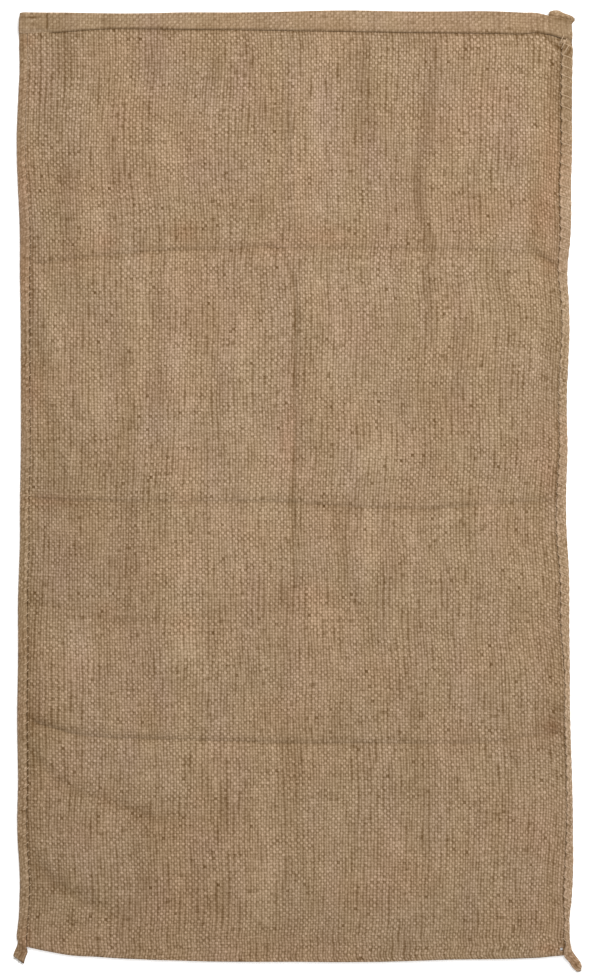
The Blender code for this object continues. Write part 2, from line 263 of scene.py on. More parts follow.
# Places where the cloth is lighter or darker, in hundredths.
PATCHES = patches(
    # Along the creases.
    (-230, 497, 50, 7, -7), (62, 494, 52, 7, -7), (-140, 493, 40, 5, -2),
    # Beside the right seam, from the mouth down.
    (287, 974, 8, 16, -12), (284, 950, 9, 26, -10), (268, 1010.6, 6, 2, -20), (290, 930, 6, 60, -9),
    (289, 840, 5, 60, -7), (292, 790, 6, 20, -8), (272, 968, 5, 8, -6), (264, 825, 9, 26, -10),
    (264, 785, 12, 20, -9), (272, 262, 16, 32, -10), (276, 560, 8, 20, -5), (283, 275, 8, 8, -12),
    (286, 500, 16, 520, -5), (290, 34, 12, 24, -5), (273, 600, 8, 24, -7), (277, 500, 8, 26, -8),
    (240, 385, 9, 26, -7), (233, 240, 7, 22, -6), (247, 125, 7, 22, -6), (210, 127, 6, 20, -7),
    (240, 950, 7, 28, -6), (230, 316, 8, 16, 8),
    # Beside the left seam.
    (-290, 750, 7, 60, -5), (-285, 640, 7, 50, -6), (-290, 330, 7, 60, -6), (-240, 740, 9, 30, -6),
    (-250, 672, 9, 20, 7), (-268, 692, 8, 32, 5), (-259, 575, 8, 30, 6), (-237, 318, 13, 26, 6),
    (-276.3, 1009.8, 2.4, 2.2, -44), (-255, 880, 45, 110, -2), (-250, 775, 12, 30, -6),
    (-293, 985, 7, 60, -9), (-292, 860, 9, 22, -9), (-293, 760, 7, 90, -12), (-289, 200, 13, 190, -15),
    (-288, 395, 9, 14, -12), (-276, 262, 18, 14, -12, -25), (-272, 85, 18, 30, -9, -30),
    # Upper third.
    (0, 930, 420, 110, -1.5), (100, 925, 6, 20, 9), (215, 870, 13, 15, 7), (195, 885, 10, 26, 5),
    (48, 880, 7, 60, 5), (25, 900, 6, 60, 5), (-130, 895, 8, 36, 7), (-215, 790, 8, 46, 6),
    (-185, 892, 8, 20, 5), (148, 905, 9, 50, -6), (78, 940, 9, 40, -4), (-155, 982, 8, 26, -8),
    (-88, 985, 8, 26, -5), (-50, 1000, 13, 20, -6), (-105, 858, 7, 32, -6), (-65, 820, 7, 20, -8),
    (-247, 858, 10, 16, -17), (-247, 985, 11, 36, -12), (-248, 790, 8, 20, -5), (-196, 850, 8, 55, -6),
    (-160, 930, 5, 14, -6, 10), (-157, 900, 5, 16, -8), (-160, 985, 10, 28, -5), (-88, 970, 7, 18, -7),
    (-122, 965, 6, 22, -5), (-49, 985, 5, 28, -6), (72, 985, 9, 32, -12), (80, 925, 10, 40, -10),
    (150, 985, 6, 35, -5), (-105, 787, 16, 6, -6), (-38, 815, 12, 28, -7), (-14, 838, 4, 4, -5),
    (26, 945, 10, 45, 9), (28, 880, 9, 55, 6), (-132, 880, 14, 45, 6, 15), (182, 895, 7, 32, 8),
    (225, 935, 18, 40, 5), (-222, 860, 12, 70, 4), (15, 822, 18, 30, 6),
    # Between the first and second crease.
    (-150, 604, 7, 32, -11), (-182, 620, 7, 70, -7), (-42, 570, 7, 26, -8), (-92, 560, 6, 32, -6),
    (-35, 722, 9, 36, -5), (120, 608, 9, 50, -7), (178, 655, 8, 46, -5), (195, 715, 8, 26, 8),
    (93, 736, 8, 22, 8), (5, 722, 6, 22, 8), (60, 600, 12, 42, 5), (45, 642, 7, 30, 5),
    (-125, 660, 9, 64, 6), (-168, 700, 7, 42, 7), (-163, 560, 7, 32, 6), (-70, 575, 7, 26, 6),
    (-60, 652, 7, 32, 5), (-40, 560, 110, 150, 2.5), (-150, 720, 15, 22, -6), (230, 735, 14, 28, -5),
    (186, 690, 10, 16, -6), (178, 640, 7, 40, -5), (-235, 614, 6, 7, -7), (-195, 615, 6, 7, -7),
    (9, 665, 8, 34, -3), (13, 595, 11, 40, -5), (-38, 615, 10, 4, -6, -35), (-34, 560, 22, 110, 6),
    (95, 556, 36, 26, 11), (147, 700, 8, 40, -5), (-85, 620, 12, 34, -5), (-146, 630, 7, 40, -5),
    (183, 578, 12, 10, -5), (155, 590, 14, 50, -4), (-240, 540, 50, 50, -6), (-200, 548, 9, 9, -5),
    (30, 738, 20, 22, 11), (46, 690, 20, 24, 10), (45, 650, 20, 30, 4), (90, 738, 12, 20, 9),
    (130, 742, 11, 18, 6), (-130, 740, 10, 40, 5), (-128, 640, 12, 110, 6), (-172, 660, 9, 90, 5),
    (200, 700, 7, 45, 7), (213, 595, 7, 50, 6), (260, 660, 9, 24, 5), (-60, 680, 18, 36, 5),
    (100, 570, 16, 50, 6), (-122, 570, 20, 34, 7), (-205, 610, 30, 26, 4),
    # Between the second and third crease.
    (170, 480, 8, 24, 10), (-180, 396, 8, 46, -9), (-150, 320, 8, 36, -7), (-14, 400, 7, 26, -8),
    (190, 352, 6, 60, -5), (125, 272, 7, 26, -8), (78, 480, 10, 26, 7), (132, 450, 6, 26, 5),
    (25, 380, 8, 36, 8), (42, 328, 8, 42, 6), (20, 290, 7, 30, 5), (-125, 430, 7, 32, 5),
    (-120, 342, 10, 32, 6), (-100, 300, 6, 26, 5), (180, 290, 8, 42, 7), (-240, 460, 60, 60, -4),
    (-240, 430, 6, 30, -6), (-180, 440, 12, 50, -5), (-148, 412, 7, 10, -8), (-172, 372, 14, 6, -5),
    (-150, 288, 9, 18, -6), (-10, 405, 6, 8, -12), (-10, 350, 10, 50, -4), (-25, 312, 14, 4, -5),
    (50, 420, 5, 90, -5), (277, 257, 7.5, 7.5, -26), (26, 355, 12, 26, 5), (125, 255, 6, 5, -9),
    (-69, 481, 5, 5, -6), (-120, 430, 20, 50, 6), (-130, 388, 12, 8, 6), (-114, 350, 11, 26, 17),
    (-60, 455, 40, 36, 4), (85, 478, 8, 22, 16), (84, 446, 10, 26, 10), (130, 482, 8, 18, 5),
    (225, 460, 14, 40, 4), (-240, 338, 24, 28, 8), (28, 375, 12, 24, 4), (262, 420, 6, 30, 6, 25),
    # Below the third crease.
    (-14, 215, 8, 32, -8), (-165, 120, 13, 32, -7), (185, 205, 9, 18, 7), (130, 60, 11, 22, 7),
    (-25, 90, 9, 52, 6), (-125, 75, 8, 26, 7), (-200, 130, 9, 32, 7), (0, 8, 300, 22, -3),
    (-3, 205, 13, 50, -7), (-6, 110, 11, 50, -5), (-8, 30, 7, 28, -7), (50, 230, 5, 60, -3),
    (233, 222, 5, 14, -14, -10), (45, 182, 6, 14, -6), (136, 184, 20, 17, -11), (188, 170, 16, 6, -5),
    (-78, 168, 6, 18, -10), (-165, 88, 12, 11, -9), (-112, 90, 7, 12, -5), (-85, 64, 14, 10, -8, -20),
    (-180, 120, 90, 90, -5), (-250, 35, 12, 32, -7), (-160, 20, 10, 16, -6), (-100, 28, 12, 20, -6),
    (98, 14, 8, 12, -6), (145, 105, 7, 40, -6), (215, 130, 9, 14, -6), (243, 60, 8, 32, -6),
    (70, 65, 8, 22, -4), (150, 60, 120, 50, -2), (-42, 110, 16, 60, 6), (-33, 142, 8, 12, 4),
    (-140, 200, 22, 16, 5), (-130, 228, 40, 10, 3), (222, 212, 8, 14, 6),
)

# Places where the jute is redder, with how strongly.
REDDER = patches(
    (-296, 790, 9, 110, 0.6), (-290, 1005, 10, 8, 0.6), (280, 890, 11, 90, 0.6),
    (278, 760, 14, 14, 0.5), (-265, 504, 30, 8, 0.7), (276, 528, 10, 22, 0.5), (281, 256, 9, 9, 0.7),
    (276, 14, 14, 6, 0.8), (-294, 22, 8, 22, 1.0), (305, 0, 12, 14, 1.0), (-20, 780, 40, 14, 0.4),
    (-8, 568, 10, 22, 0.8), (-60, 120, 60, 60, 0.3), (270, 815, 15, 35, 0.6), (-205, 785, 12, 12, 0.6),
    (-160, 770, 12, 12, 0.4), (-120, 795, 12, 12, 0.6), (35, 790, 25, 12, 0.6),
    (-285, 620, 12, 15, 0.5), (0, 595, 12, 12, 0.4), (165, 535, 12, 12, 0.4), (-120, 505, 12, 12, 0.5),
    (20, 400, 25, 12, 0.4), (-205, 385, 12, 12, 0.4), (-120, 370, 12, 12, 0.4),
    (-205, 180, 12, 12, 0.4), (-105, 180, 12, 12, 0.4),
)

# Places where it is greyer.
GREYER = patches(
    (-155, 1000, 15, 40, 0.8), (-165, 970, 30, 30, 0.4), (-95, 950, 12, 30, 0.7),
    (-60, 960, 12, 30, 0.6), (0, 960, 12, 30, 0.5), (35, 940, 12, 45, 0.8), (155, 950, 25, 30, 0.5),
    (230, 900, 25, 40, 0.6), (140, 890, 15, 15, 0.6), (-185, 920, 15, 15, 0.4),
    (-85, 860, 35, 20, 0.5), (85, 880, 12, 30, 0.5), (130, 815, 12, 35, 0.5), (-150, 580, 15, 15, 0.4),
    (-240, 430, 25, 35, 0.5), (-175, 225, 28, 20, 0.5), (-205, 310, 15, 15, 0.4),
    (-150, 295, 15, 15, 0.4), (-90, 130, 15, 15, 0.5), (230, 540, 15, 15, 0.4),
    (235, 225, 15, 15, 0.4),
)

# Lighter and darker places on the hem, in hundredths, among them painted light and shade on the folded
# blocks' creases and a painted shadow under the right seam's turned tail.
HEM_PATCHES = patches(
    (-288.5, 1029.5, 1.8, 3, -34), (-281, 1031.8, 5, 1.1, 12), (-281.2, 1029.2, 5, 1.4, -52, 3),
    (-281.3, 1026.6, 3.2, 1.2, 26, -4), (-287.4, 1022.2, 2.2, 1.8, -24, 30),
    (-280.4, 1022.3, 2.2, 1.8, -24), (-286, 1018.6, 3.2, 1.4, 16, -40), (-275, 1019.5, 3.5, 3, -12),
    (-277.5, 1015, 4, 1.3, 14), (-205, 1020, 10, 5, -5), (-40, 1024, 12, 6, -5), (40, 1030, 30, 5, 6),
    (120, 1028, 40, 6, 4), (240, 1016, 14, 5, -9), (262, 1028, 16, 3, -12, -15),
    (273.6, 1020, 1.6, 9, 18), (280.5, 1027.4, 6.5, 1.1, -34, -4), (289, 1024.5, 2.5, 2, -20, -20),
    (284, 1018, 8, 9, -3), (291, 1008, 8, 4, -6, -30), (287, 1026, 5, 1.8, -14, -14),
    (268, 1013, 6, 1.4, -18), (285, 1004.6, 1.1, 4, -30, -20), (288, 1004, 1.1, 4, -30, -20),
)

# Lighter and darker places on the rolled edges and their tails, in hundredths, among them painted shade
# along the right turned tail's lower edge and fold.
RIDGE_PATCHES = patches(
    (-296, 1000, 4, 9, -10), (-297, 985, 3, 4, 8), (-300, 30, 6, 12, -6), (-297, 14, 5, 5, -14),
    (-304, 3, 4, 4, 10), (279, 1033, 4, 3, -14), (287, 1034, 5, 3, 5), (299, 1026, 8, 2.4, -26, -25),
    (292, 1030, 8, 1.4, -16, -10), (299, 992, 4, 7, -8), (292.6, 995.5, 1.4, 5, -26, -20),
    (295.4, 998, 1.3, 6, -30, -27), (298.8, 991.5, 1.3, 6, -28, -27), (292, 1036, 15, 5, -14, -20),
    (279, 1033, 3, 4, -16), (286, 1030.4, 9, 1.3, -26, -4), (300, 950, 12, 60, -24),
    (300, 280, 10, 80, 16), (300, 263, 3, 3, -30), (307, -2.5, 3.2, 3, -30), (310.5, -9, 2.5, 2, 24),
    (301, 8, 5, 5, -8),
)

# The pinhole at the lower right corner, through both layers.
HOLE_ACROSS = 291.0
HOLE_UP = 13.7
HOLE_WIDE = 3.2

# A seam's cross-section from the cloth outwards: shares of its width and height, its share of the
# overhang between stitches, and its shade, which is painted light and shade: darker down the inner wall
# in the groove and underneath, lighter on the rim.
Bead = namedtuple("Bead", "wide high over shade")
RIDGE_SECTION = (
    Bead(0.0, 0.06, 0, 0.8),
    Bead(0.0, 0.64, 0, 0.62),
    Bead(0.0, 0.76, 0.8, 0.48),
    Bead(0.0, 0.84, 1, 0.52),
    Bead(0.02, 0.91, 1, 0.88),
    Bead(0.09, 0.975, 0.75, 1.10),
    Bead(0.24, 1.0, 0.35, 1.06),
    Bead(0.45, 1.0, 0, 1.01),
    Bead(0.63, 0.96, 0, 1.02),
    Bead(0.79, 0.88, 0, 1.06),
    Bead(0.91, 0.75, 0, 1.08),
    Bead(0.98, 0.58, 0, 1.05),
    Bead(1.0, 0.40, 0, 1.02),
    Bead(0.99, 0.20, 0, 0.95),
    Bead(0.94, 0.05, 0, 0.9),
    Bead(0.84, 0.0, 0, 0.9),
    Bead(0.45, 0.0, 0, 0.9),
    Bead(0.08, 0.0, 0, 0.8),
)
# The rim gets a painted highlight where the ridge bulges between stitches.
RIM = 5.0  # the middle of its lit rim, counted along the section's points
RIM_REACH = 1.3  # how far the rim reaches to each side, counted so too
SHOULDER = 3.0  # where a stitch passes the ridge's inner edge, counted so too
OUTER_FOOT = 13.0  # where it goes under again
BITE = 3.0  # how far into the cloth the stitches reach

# How deep the groove between each seam and the cloth is, up the sack, which also sets how dark its painted
# shade is.
Groove = namedtuple("Groove", "up left right")
GROOVES = (
    Groove(0, 0.8, 0.8),
    Groove(300, 0.85, 0.9),
    Groove(560, 0.7, 0.9),
    Groove(640, 0.8, 0.8),
    Groove(790, 0.6, 0.9),
    Groove(850, 0.25, 1.0),
    Groove(1036, 0.1, 1.0),
)

# The seam tails, section by section away from the ridge: each runs from an inner to an outer point.
Tail = namedtuple("Tail", "inner inner_up outer outer_up high")
LEFT_TAIL = (
    Tail(-292.2, 14.5, -302.3, 18.4, 4.6),
    Tail(-291.6, 10.5, -304.6, 12.8, 3.4),
    Tail(-293.3, 6.0, -306.2, 8.8, 3.0),
    Tail(-295.4, -2.2, -306.8, 6.0, 2.6),
)
RIGHT_TAIL = (
    Tail(294.4, 6.8, 304.4, 9.0, 5.0),
    Tail(296.9, 3.4, 306.8, 5.7, 4.4),
    Tail(299.9, -0.4, 309.6, 1.9, 4.0),
    Tail(303.1, -4.9, 312.3, -2.7, 3.6),
    Tail(306.3, -8.6, 312.9, -7.1, 3.2),
    Tail(309.0, -11.2, 311.8, -10.9, 2.2),
)
TURNED_TAIL = (
    Tail(289.8, 1021.0, 301.4, 1021.5, 5.4),
    Tail(292.0, 1026.4, 305.5, 1027.6, 4.4),
    Tail(289.2, 1028.9, 293.5, 1034.8, 3.8),
    Tail(283.0, 1029.6, 284.5, 1037.6, 3.4),
    Tail(276.8, 1029.9, 278.2, 1036.3, 3.0),
)

# Each seam: its stitches' pitch, how far the rolled edge stands over the cloth between them, how far
# back its foot stands for that, how far its outline swells, how far up the sack a stitch's two ends lie
# apart, how deep its twine has sunk in, and how light it is.
Sewing = namedtuple("Sewing", "side pitch over back swell slant sunk light bottom top")
LEFT_SEWING = Sewing("left", 10.8, 1.1, 0.7, 0.7, 6.0, 0.44, 0.86, LEFT_TAIL, ())
RIGHT_SEWING = Sewing("right", 11.8, 1.9, 2.4, 1.6, 7.0, 0.2, 1.005, RIGHT_TAIL, TURNED_TAIL)
UNDER_HEM = 0.16  # the share by which the ridges are flattened under the hem's two ends
LEAN = 0.5  # the share of its overhang that a ridge keeps where it isn't sewn to the cloth
FLATTER = 0.9  # how much lower a ridge lies where its groove doesn't show
SEAM_STEP = 1.6  # between the loops of a rolled edge's mesh
SEAM_TOP = 1032.5  # where a seam with no turned tail ends
STITCHED = (20, 1000)  # how far up the sack the overcast stitches begin and end
# Stretches of a seam up the sack, each from one (height, run into it) to another.
SEWN_STRETCH = ((22, 14), (1004, 10))  # where it joins the cloth's two layers
SET_BACK_STRETCH = ((14, 16), (1015, 12))  # where its foot stands back
UNDER_HEM_STRETCH = ((1000, 8), (1030, 5))  # where it passes under the hem's end
TURN_UP = 1020  # above this the right seam's upper tail turns, so a seam's foot is read below it
STITCH_POINTS = 10
CORNER_POINTS = 12
TWINE = 1.0  # thickness of the sewing twine

# The stitches that hold the hem's right end to the ridge, from an inner to an outer point.
CornerStitch = namedtuple("CornerStitch", "inner inner_up outer outer_up high")
CORNER_STITCHES = (
    CornerStitch(289.0, 1001.0, 293.5, 1010.5, 8.2),
    CornerStitch(291.0, 995.5, 297.0, 1006.5, 7.6),
    CornerStitch(293.5, 990.0, 299.5, 1000.0, 6.6),
)

# Frayed ends: the cut's two ends, its height, the way its yarns point, how far they fan out, how many
# there are and how long.
Fray = namedtuple("Fray", "across up to_across to_up high heading fan count long")
FRAYS = (
    Fray(-306.4, 5.6, -295.8, -1.8, 2.4, 236, 50, 22, 4.0),
    Fray(307.0, -9.4, 312.6, -8.0, 2.8, 300, 60, 16, 3.2),
    Fray(304.6, 1026.6, 305.2, 1029.4, 3.6, 350, 50, 8, 2.2),
    Fray(277.0, 1030.6, 277.6, 1035.6, 3.0, 175, 60, 8, 1.8),
    Fray(-301.0, 14.0, -303.0, 9.0, 3.0, 200, 50, 6, 2.4),
)
FRAYED_YARN = 0.5  # thickness of a frayed end
STRAY_FIBRE = 0.2  # and of a loose fibre
STRAND_POINTS = 6  # along each of both
CLOTH_FIBRES = 520  # how many fibres stand up from the cloth
SEAM_FIBRES = 170  # and out from each seam
FRAY_SEED = 31
FIBRE_SEED = 77

# Where the camera looks, and how much of the floor it sees from top to bottom.
AIM_ACROSS = 3.8
AIM_UP = 516.1
FRAME_TALL = 1065.0
LENS = 100.0
SENSOR = 36.0

# The light, in metres and watts, and the floor's half width.
KEY_PLACE = (1.15, 2.25, 3.0)
KEY_SIZE = 1.4
KEY_POWER = 120
SURROUND = 0.66  # how bright the surround is
FLOOR_WIDE = 12.0


# ---------------------------------------------------------------- reading the tables


def smooth_between(at, values, places):
    """Values at places, on a smooth curve through the given ones."""
    slopes = np.gradient(values, at)
    right = np.clip(np.searchsorted(at, places), 1, len(at) - 1)
    left = right - 1
    run = at[right] - at[left]
    t = np.clip((places - at[left]) / run, 0, 1)
    from_left = values[left] + (slopes[left] * run) * t
    from_right = values[right] - (slopes[right] * run) * (1 - t)
    turn = soft_step(t)
    return from_left * (1 - turn) + from_right * turn


def read(table, key, name, places):
    """A table's column at places along its key column, on a smooth curve through its rows."""
    at = np.array([getattr(row, key) for row in table], float)
    values = np.array([getattr(row, name) for row in table], float)
    return smooth_between(at, values, places)


def soft_step(share):
    """A soft step from 0 to 1."""
    share = np.clip(share, 0, 1)
    return share * share * (3 - 2 * share)


def on_stretch(up, start, end):
    """1 on a stretch up the sack, with a soft run at each end."""
    (low, rise), (high, fall) = start, end
    return soft_step((up - low) / rise) * soft_step((high - up) / fall)


def peak(distance, before, after, sharp=1.7):
    """1 on a line and 0 past its reach on either side: a pressed fold's profile."""
    reach = np.where(distance < 0, before, after)
    return np.clip(1 - np.abs(distance) / reach, 0, 1) ** sharp


def rough(across, up, across_scale, up_scale, seed):
    """Smooth noise from -1 to 1 over the sack, with blotches of the given sizes."""
    points = np.stack(np.broadcast_arrays(across / across_scale, up / up_scale), axis=-1)
    flat = [noise.noise(Vector((x, y, seed))) for x, y in points.reshape(-1, 2)]
    return np.array(flat).reshape(points.shape[:-1])


def along_route(across, up, route, reach):
    """1 times the route's strength on it, and 0 past its reach."""
    found = np.zeros(np.broadcast(across, up).shape)
    for (x1, y1, s1), (x2, y2, s2) in zip(route, route[1:]):
        run_x = x2 - x1
        run_y = y2 - y1
        share = ((across - x1) * run_x + (up - y1) * run_y) / (run_x**2 + run_y**2)
        share = np.clip(share, 0, 1)
        distance = np.hypot(across - x1 - run_x * share, up - y1 - run_y * share)
        near = 1 - soft_step(distance / reach)
        found = np.maximum(found, near * (s1 + (s2 - s1) * share))
    return found


def in_patch(across, up, patch):
    """1 in a patch's middle, fading softly through its edge."""
    turn = math.radians(patch.turn)
    right = across - patch.across
    above = up - patch.up
    over = (right * math.cos(turn) + above * math.sin(turn)) / patch.wide
    along = (above * math.cos(turn) - right * math.sin(turn)) / patch.tall
    return np.exp(-(over**2) - along**2)


def painted(across, up, table):
    """What a table's patches add up to at each place."""
    total = np.zeros(np.broadcast(across, up).shape)
    for patch in table:
        total += patch.shade * in_patch(across, up, patch)
    return total


# ---------------------------------------------------------------- the cloth's shape


def spaced(length, coarse, closer):
    """Places along a length, closer together near the given (place, step, reach) ones and on them."""
    fine = np.linspace(0, length, 3000)
    density = np.full_like(fine, 1 / coarse)
    for place, step, reach in closer:
        density = np.maximum(density, np.exp(-(((fine - place) / reach) ** 2)) / step)
    count = np.cumsum(density)
    count = (count - count[0]) / (count[-1] - count[0])
    steps = int(round(density.mean() * length))
    found = np.interp(np.linspace(0, 1, steps + 1), count, fine)
    for place, step, reach in closer:
        found[np.argmin(np.abs(found - place))] = place
    return found


def cloth_columns():
    """Places across the sack of the cloth's columns."""
    closer = (
        (0, 1.6, 8),
        (11, 1.7, 9),
        (BLOCK_GROOVE + EDGE, 1.2, 3.5),
        (SPINE_ACROSS + EDGE, 1.5, 8),
        (BLOCK + EDGE, 1.8, 6),
        (2 * EDGE - 10, 1.8, 9),
        (2 * EDGE, 1.6, 8),
    )
    return spaced(2 * EDGE, 4.7, closer) - EDGE


def loft(across, up, fold):
    """Height above the floor of the upper layer's underside, without its creases."""
    rise = soft_step((EDGE - np.abs(across)) / SIDE_RISE) * soft_step((up - fold) / FOLD_RISE)
    bend = np.zeros_like(up)
    for wave in WAVES:
        turn = math.radians(wave.turn)
        run = up * math.cos(turn) + across * math.sin(turn)
        bend += wave.height * np.sin(2 * math.pi * run / wave.length + wave.start)
    held = HELD - CLOTH
    return held + (LOFT - CLOTH + bend - held) * rise


def crease_depth(crease, across, up):
    """How deep one cross crease is, at places across the sack."""
    places = (-EDGE, -EDGE / 2, 0, EDGE / 2, EDGE)
    depths = (crease.left, crease.mid_left, crease.middle, crease.mid_right, crease.right)
    uneven = 1 + CREASE_UNEVEN * rough(across, 0 * up, 34, 400, CREASES.index(crease))
    return np.interp(across, places, depths) * uneven


def pressed_in(across, up, lines):
    """How far the creases and folds sink the upper layer."""
    from_spine = across - SPINE_ACROSS
    sunk = read(SPINE, "up", "depth", up) * peak(from_spine, SPINE_REACH, SPINE_REACH)
    for crease in CREASES:
        above = up - lines[crease.line]
        sunk = sunk + crease_depth(crease, across, up) * peak(above, crease.below, crease.above)
    for fold in FOLDS:
        sunk = sunk + fold.deep * along_route(across, up, fold.route, fold.reach)
    return sunk


def upper_underside(across, up, lines):
    """Height above the floor of the upper layer's underside, creases and all."""
    inwards = EDGE - np.abs(across)
    free = soft_step(inwards / 12)
    small = 0.25 * rough(across, up, 30, 55, 7.7) + 0.12 * rough(across, up, 11, 18, 3.1)
    sunk = pressed_in(across, up, lines) * free
    pressed = PRESSED * groove_depth(across, up)
    held_down = pressed * (1 - soft_step(inwards / PRESSED_REACH)) * soft_step((lines["hem"] - up - 4) / 8)
    under = loft(across, up, lines["fold"]) + small * free - sunk - held_down
    return np.maximum(under, CLOTH + 0.4)


def cloth_shade(across, up, lines):
    """How light or dark the upper layer is at each place, in hundredths."""
    shade = 1.5 * rough(across, up, 14, 90, 9.5) + painted(across, up, PATCHES)
    # Along the folds the cloth is painted darker, as painted shade, and lighter on a crest, as painted
    # light.
    for fold in FOLDS:
        shade = shade + fold.shade * along_route(across, up, fold.route, fold.reach)
    # Along the creases and the middle crease the cloth is painted darker, as painted shade and crushed
    # fibres.
    for crease in CREASES:
        line = peak(up - lines[crease.line], crease.faded, SHADE_AND_WEAR_REACH, 1)
        shade = shade + crease.worn * crease_depth(crease, across, up) * line
    line = peak(across - SPINE_ACROSS, SHADE_AND_WEAR_REACH, SHADE_AND_WEAR_REACH, 1)
    shade = shade + read(SPINE, "up", "worn", up) * line
    # Painted shadow: the cloth is painted darker beside the seams, and under the hem's edge.
    inwards = EDGE - np.abs(across)
    shade = shade - SEAM_SHADOW * groove_depth(across, up) * np.exp(-((inwards / SHADOW_REACH) ** 2))
    under_hem = lines["hem"] - up
    shadow = HEM_SHADOW * hem_stands_free(across) * np.exp(-((under_hem / SHADOW_REACH) ** 2))
    return shade - np.where(under_hem > -0.1, shadow, 0)


def hem_stands_free(across):
    """1 where the hem's lower edge stands free of the cloth, falling off at its two sewn ends."""
    sewn_left = 0.95 * soft_step((HEM_FREE_LEFT - across) / 9)
    sewn_right = 0.8 * soft_step((across - HEM_FREE_RIGHT) / 5)
    return 1 - sewn_left - sewn_right


def groove_depth(across, up):
    """How deep the groove of the nearer seam is, which also sets how dark its painted shade is."""
    left = read(GROOVES, "up", "left", up)
    right = read(GROOVES, "up", "right", up)
    return np.where(across < 0, left, right)


def cloth_grid(left_seam, right_seam):
    """The cloth's middle surface as grids [column, row] of across, up and high, with its looks.

    Rows run from the hem's lower edge over the mouth, down the upper layer, round the bottom fold, up
    the lower layer and round into the lower hem. Travel is the way along the cloth from the mouth, and
    share the way across it from seam to seam.
    """
    columns = cloth_columns()
    names = ("mouth", "hem", "crease_1", "crease_2", "crease_3", "fold")
    lines = {name: read(LINES, "across", name, columns)[:, None] for name in names}
    across = columns[:, None]
    half = CLOTH / 2
    turn = half + HEM_SLACK / 2  # radius of the cloth's middle round the mouth edge
    top = lines["mouth"] - turn - half

    parts = []

    def add(up, high, travel, shade, smooth=0, over_seam=0):
        rows = (up, high, travel, shade, smooth, over_seam)
        parts.append(np.broadcast_arrays(*[row + 0 * up + 0 * across for row in rows]))

    # The turned hem, from its rolled lower edge up to the mouth. Both its ends are folded blocks.
    deep = top - lines["hem"]
    shares = spaced(20, 1.3, ((0, 0.5, 1.5), (20, 0.8, 2))) / 20
    up = lines["hem"] + deep * shares
    block = soft_step((BLOCK_LEFT - across) / BLOCK_EDGE) + soft_step((across - BLOCK_RIGHT) / BLOCK_EDGE)
    free = hem_stands_free(across)
    from_edge = up - lines["hem"]
    roll = HEM_ROLL + SEWN_ROLL * (1 - free)
    rolled = (HEM_ROLLED + SEWN_ROLLED * (1 - free)) * (1 - soft_step(from_edge / roll))
    lumps = 0.35 * rough(across, up, 9, 7, 5.5) * (0.4 + block)
    high = upper_underside(across, up, lines) + CLOTH + HEM_SLACK + half + 0.5 * block + lumps - rolled
    shade = 2 * soft_step((across - 10) / 60) - 2
    # Painted shade on the rolled edge where it stands free.
    shade = shade - HEM_EDGE_SHADE * free * (1 - soft_step(from_edge / HEM_ROLL))
    # Painted light over the lower edge of the hem's left sewn end.
    shade = shade + 26 * (1 - free) * (1 - soft_step(from_edge / 3.5)) * (across < 0)
    # Painted shade in the groove beside the left block.
    shade = shade + BLOCK_FOLD.shade * along_route(across, up, BLOCK_FOLD.route, BLOCK_FOLD.reach)
    shade = shade + 6 * rough(across, up, 12, 8, 4.5)
    shade = shade + painted(across, up, HEM_PATCHES)
    add(up, high, up - top, shade, 0.7 + 0.3 * block, 1)
    # Round the mouth edge.
    middle = upper_underside(across, top, lines) + CLOTH + HEM_SLACK / 2
    for step in range(1, TURN_STEPS):
        angle = math.pi * step / TURN_STEPS
        over_seam = 1 - step / (TURN_STEPS - 1)
        add(top + turn * math.sin(angle), middle + turn * math.cos(angle), 0, MOUTH_SHADE, 0.7, over_seam)
    # Down the upper layer, from line to line.
    starts = (top, lines["hem"], lines["crease_1"], lines["crease_2"], lines["crease_3"])
    fold = lines["fold"] + HELD / 2
    ends = (*starts[1:], fold)
    for start, end in zip(starts, ends):
        shares = spaced(250, 5.3, ((0, 1.3, 6), (250, 1.3, 6))) / 250
        if start is top:
            shares = np.linspace(0, 0.98, 4)
        elif start is not lines["hem"]:
            shares = shares[1:]
        up = start + (end - start) * shares
        add(up, upper_underside(across, up, lines) + half, top - up, cloth_shade(across, up, lines))
    # Round the bottom fold.
    radius = HELD / 2 - half
    for step in range(1, FOLD_STEPS):
        angle = math.pi * step / FOLD_STEPS
        add(fold - radius * math.sin(angle), HELD / 2 + radius * math.cos(angle), top, 2)
    # Up the lower layer, which lies on the floor and steps up onto its own turned hem.
    shares = np.concatenate([NEAR_FOLD, np.linspace(0.03, 0.975, 32), np.linspace(0.98, 1, 6)])
    up = fold + (top - fold) * shares
    onto_hem = soft_step((up - (lines["mouth"] - HEM_DEEP - HEM_STEP)) / HEM_STEP)
    add(up, half + (CLOTH + HEM_SLACK) * onto_hem, top + up, 0)
    # Round the lower mouth edge and back down the lower hem.
    for step in range(1, TURN_STEPS):
        angle = math.pi * step / TURN_STEPS
        add(top + turn * math.sin(angle), half + turn + turn * math.cos(angle), 2 * top, 0, 0.75)
    up = top - (HEM_DEEP - turn - half) * np.linspace(0, 1, 6)
    add(up, half, 3 * top - up, 0, 0.75)

    up, high, travel, shade, smooth, over_seam = (np.concatenate(rows, axis=1) for rows in zip(*parts))
    share = (across + EDGE) / (2 * EDGE)
    left = left_seam.foot(up) + GAP
    right = right_seam.foot(up) - GAP
    place = left + (right - left) * share
    # The hem's two ends are drawn out over the seams.
    outwards = np.clip((np.abs(across) - BLOCK) / (EDGE - BLOCK), 0, 1) * over_seam
    place = place + (read(SIDES, "up", "left", up) - HEM_PAST_LEFT - left) * outwards * (across < 0)
    place = place + (read(SIDES, "up", "right", up) + HEM_PAST_RIGHT - right) * outwards * (across > 0)
    share = (place - left) / (right - left)
    return place, up, high, travel, share, shade, smooth


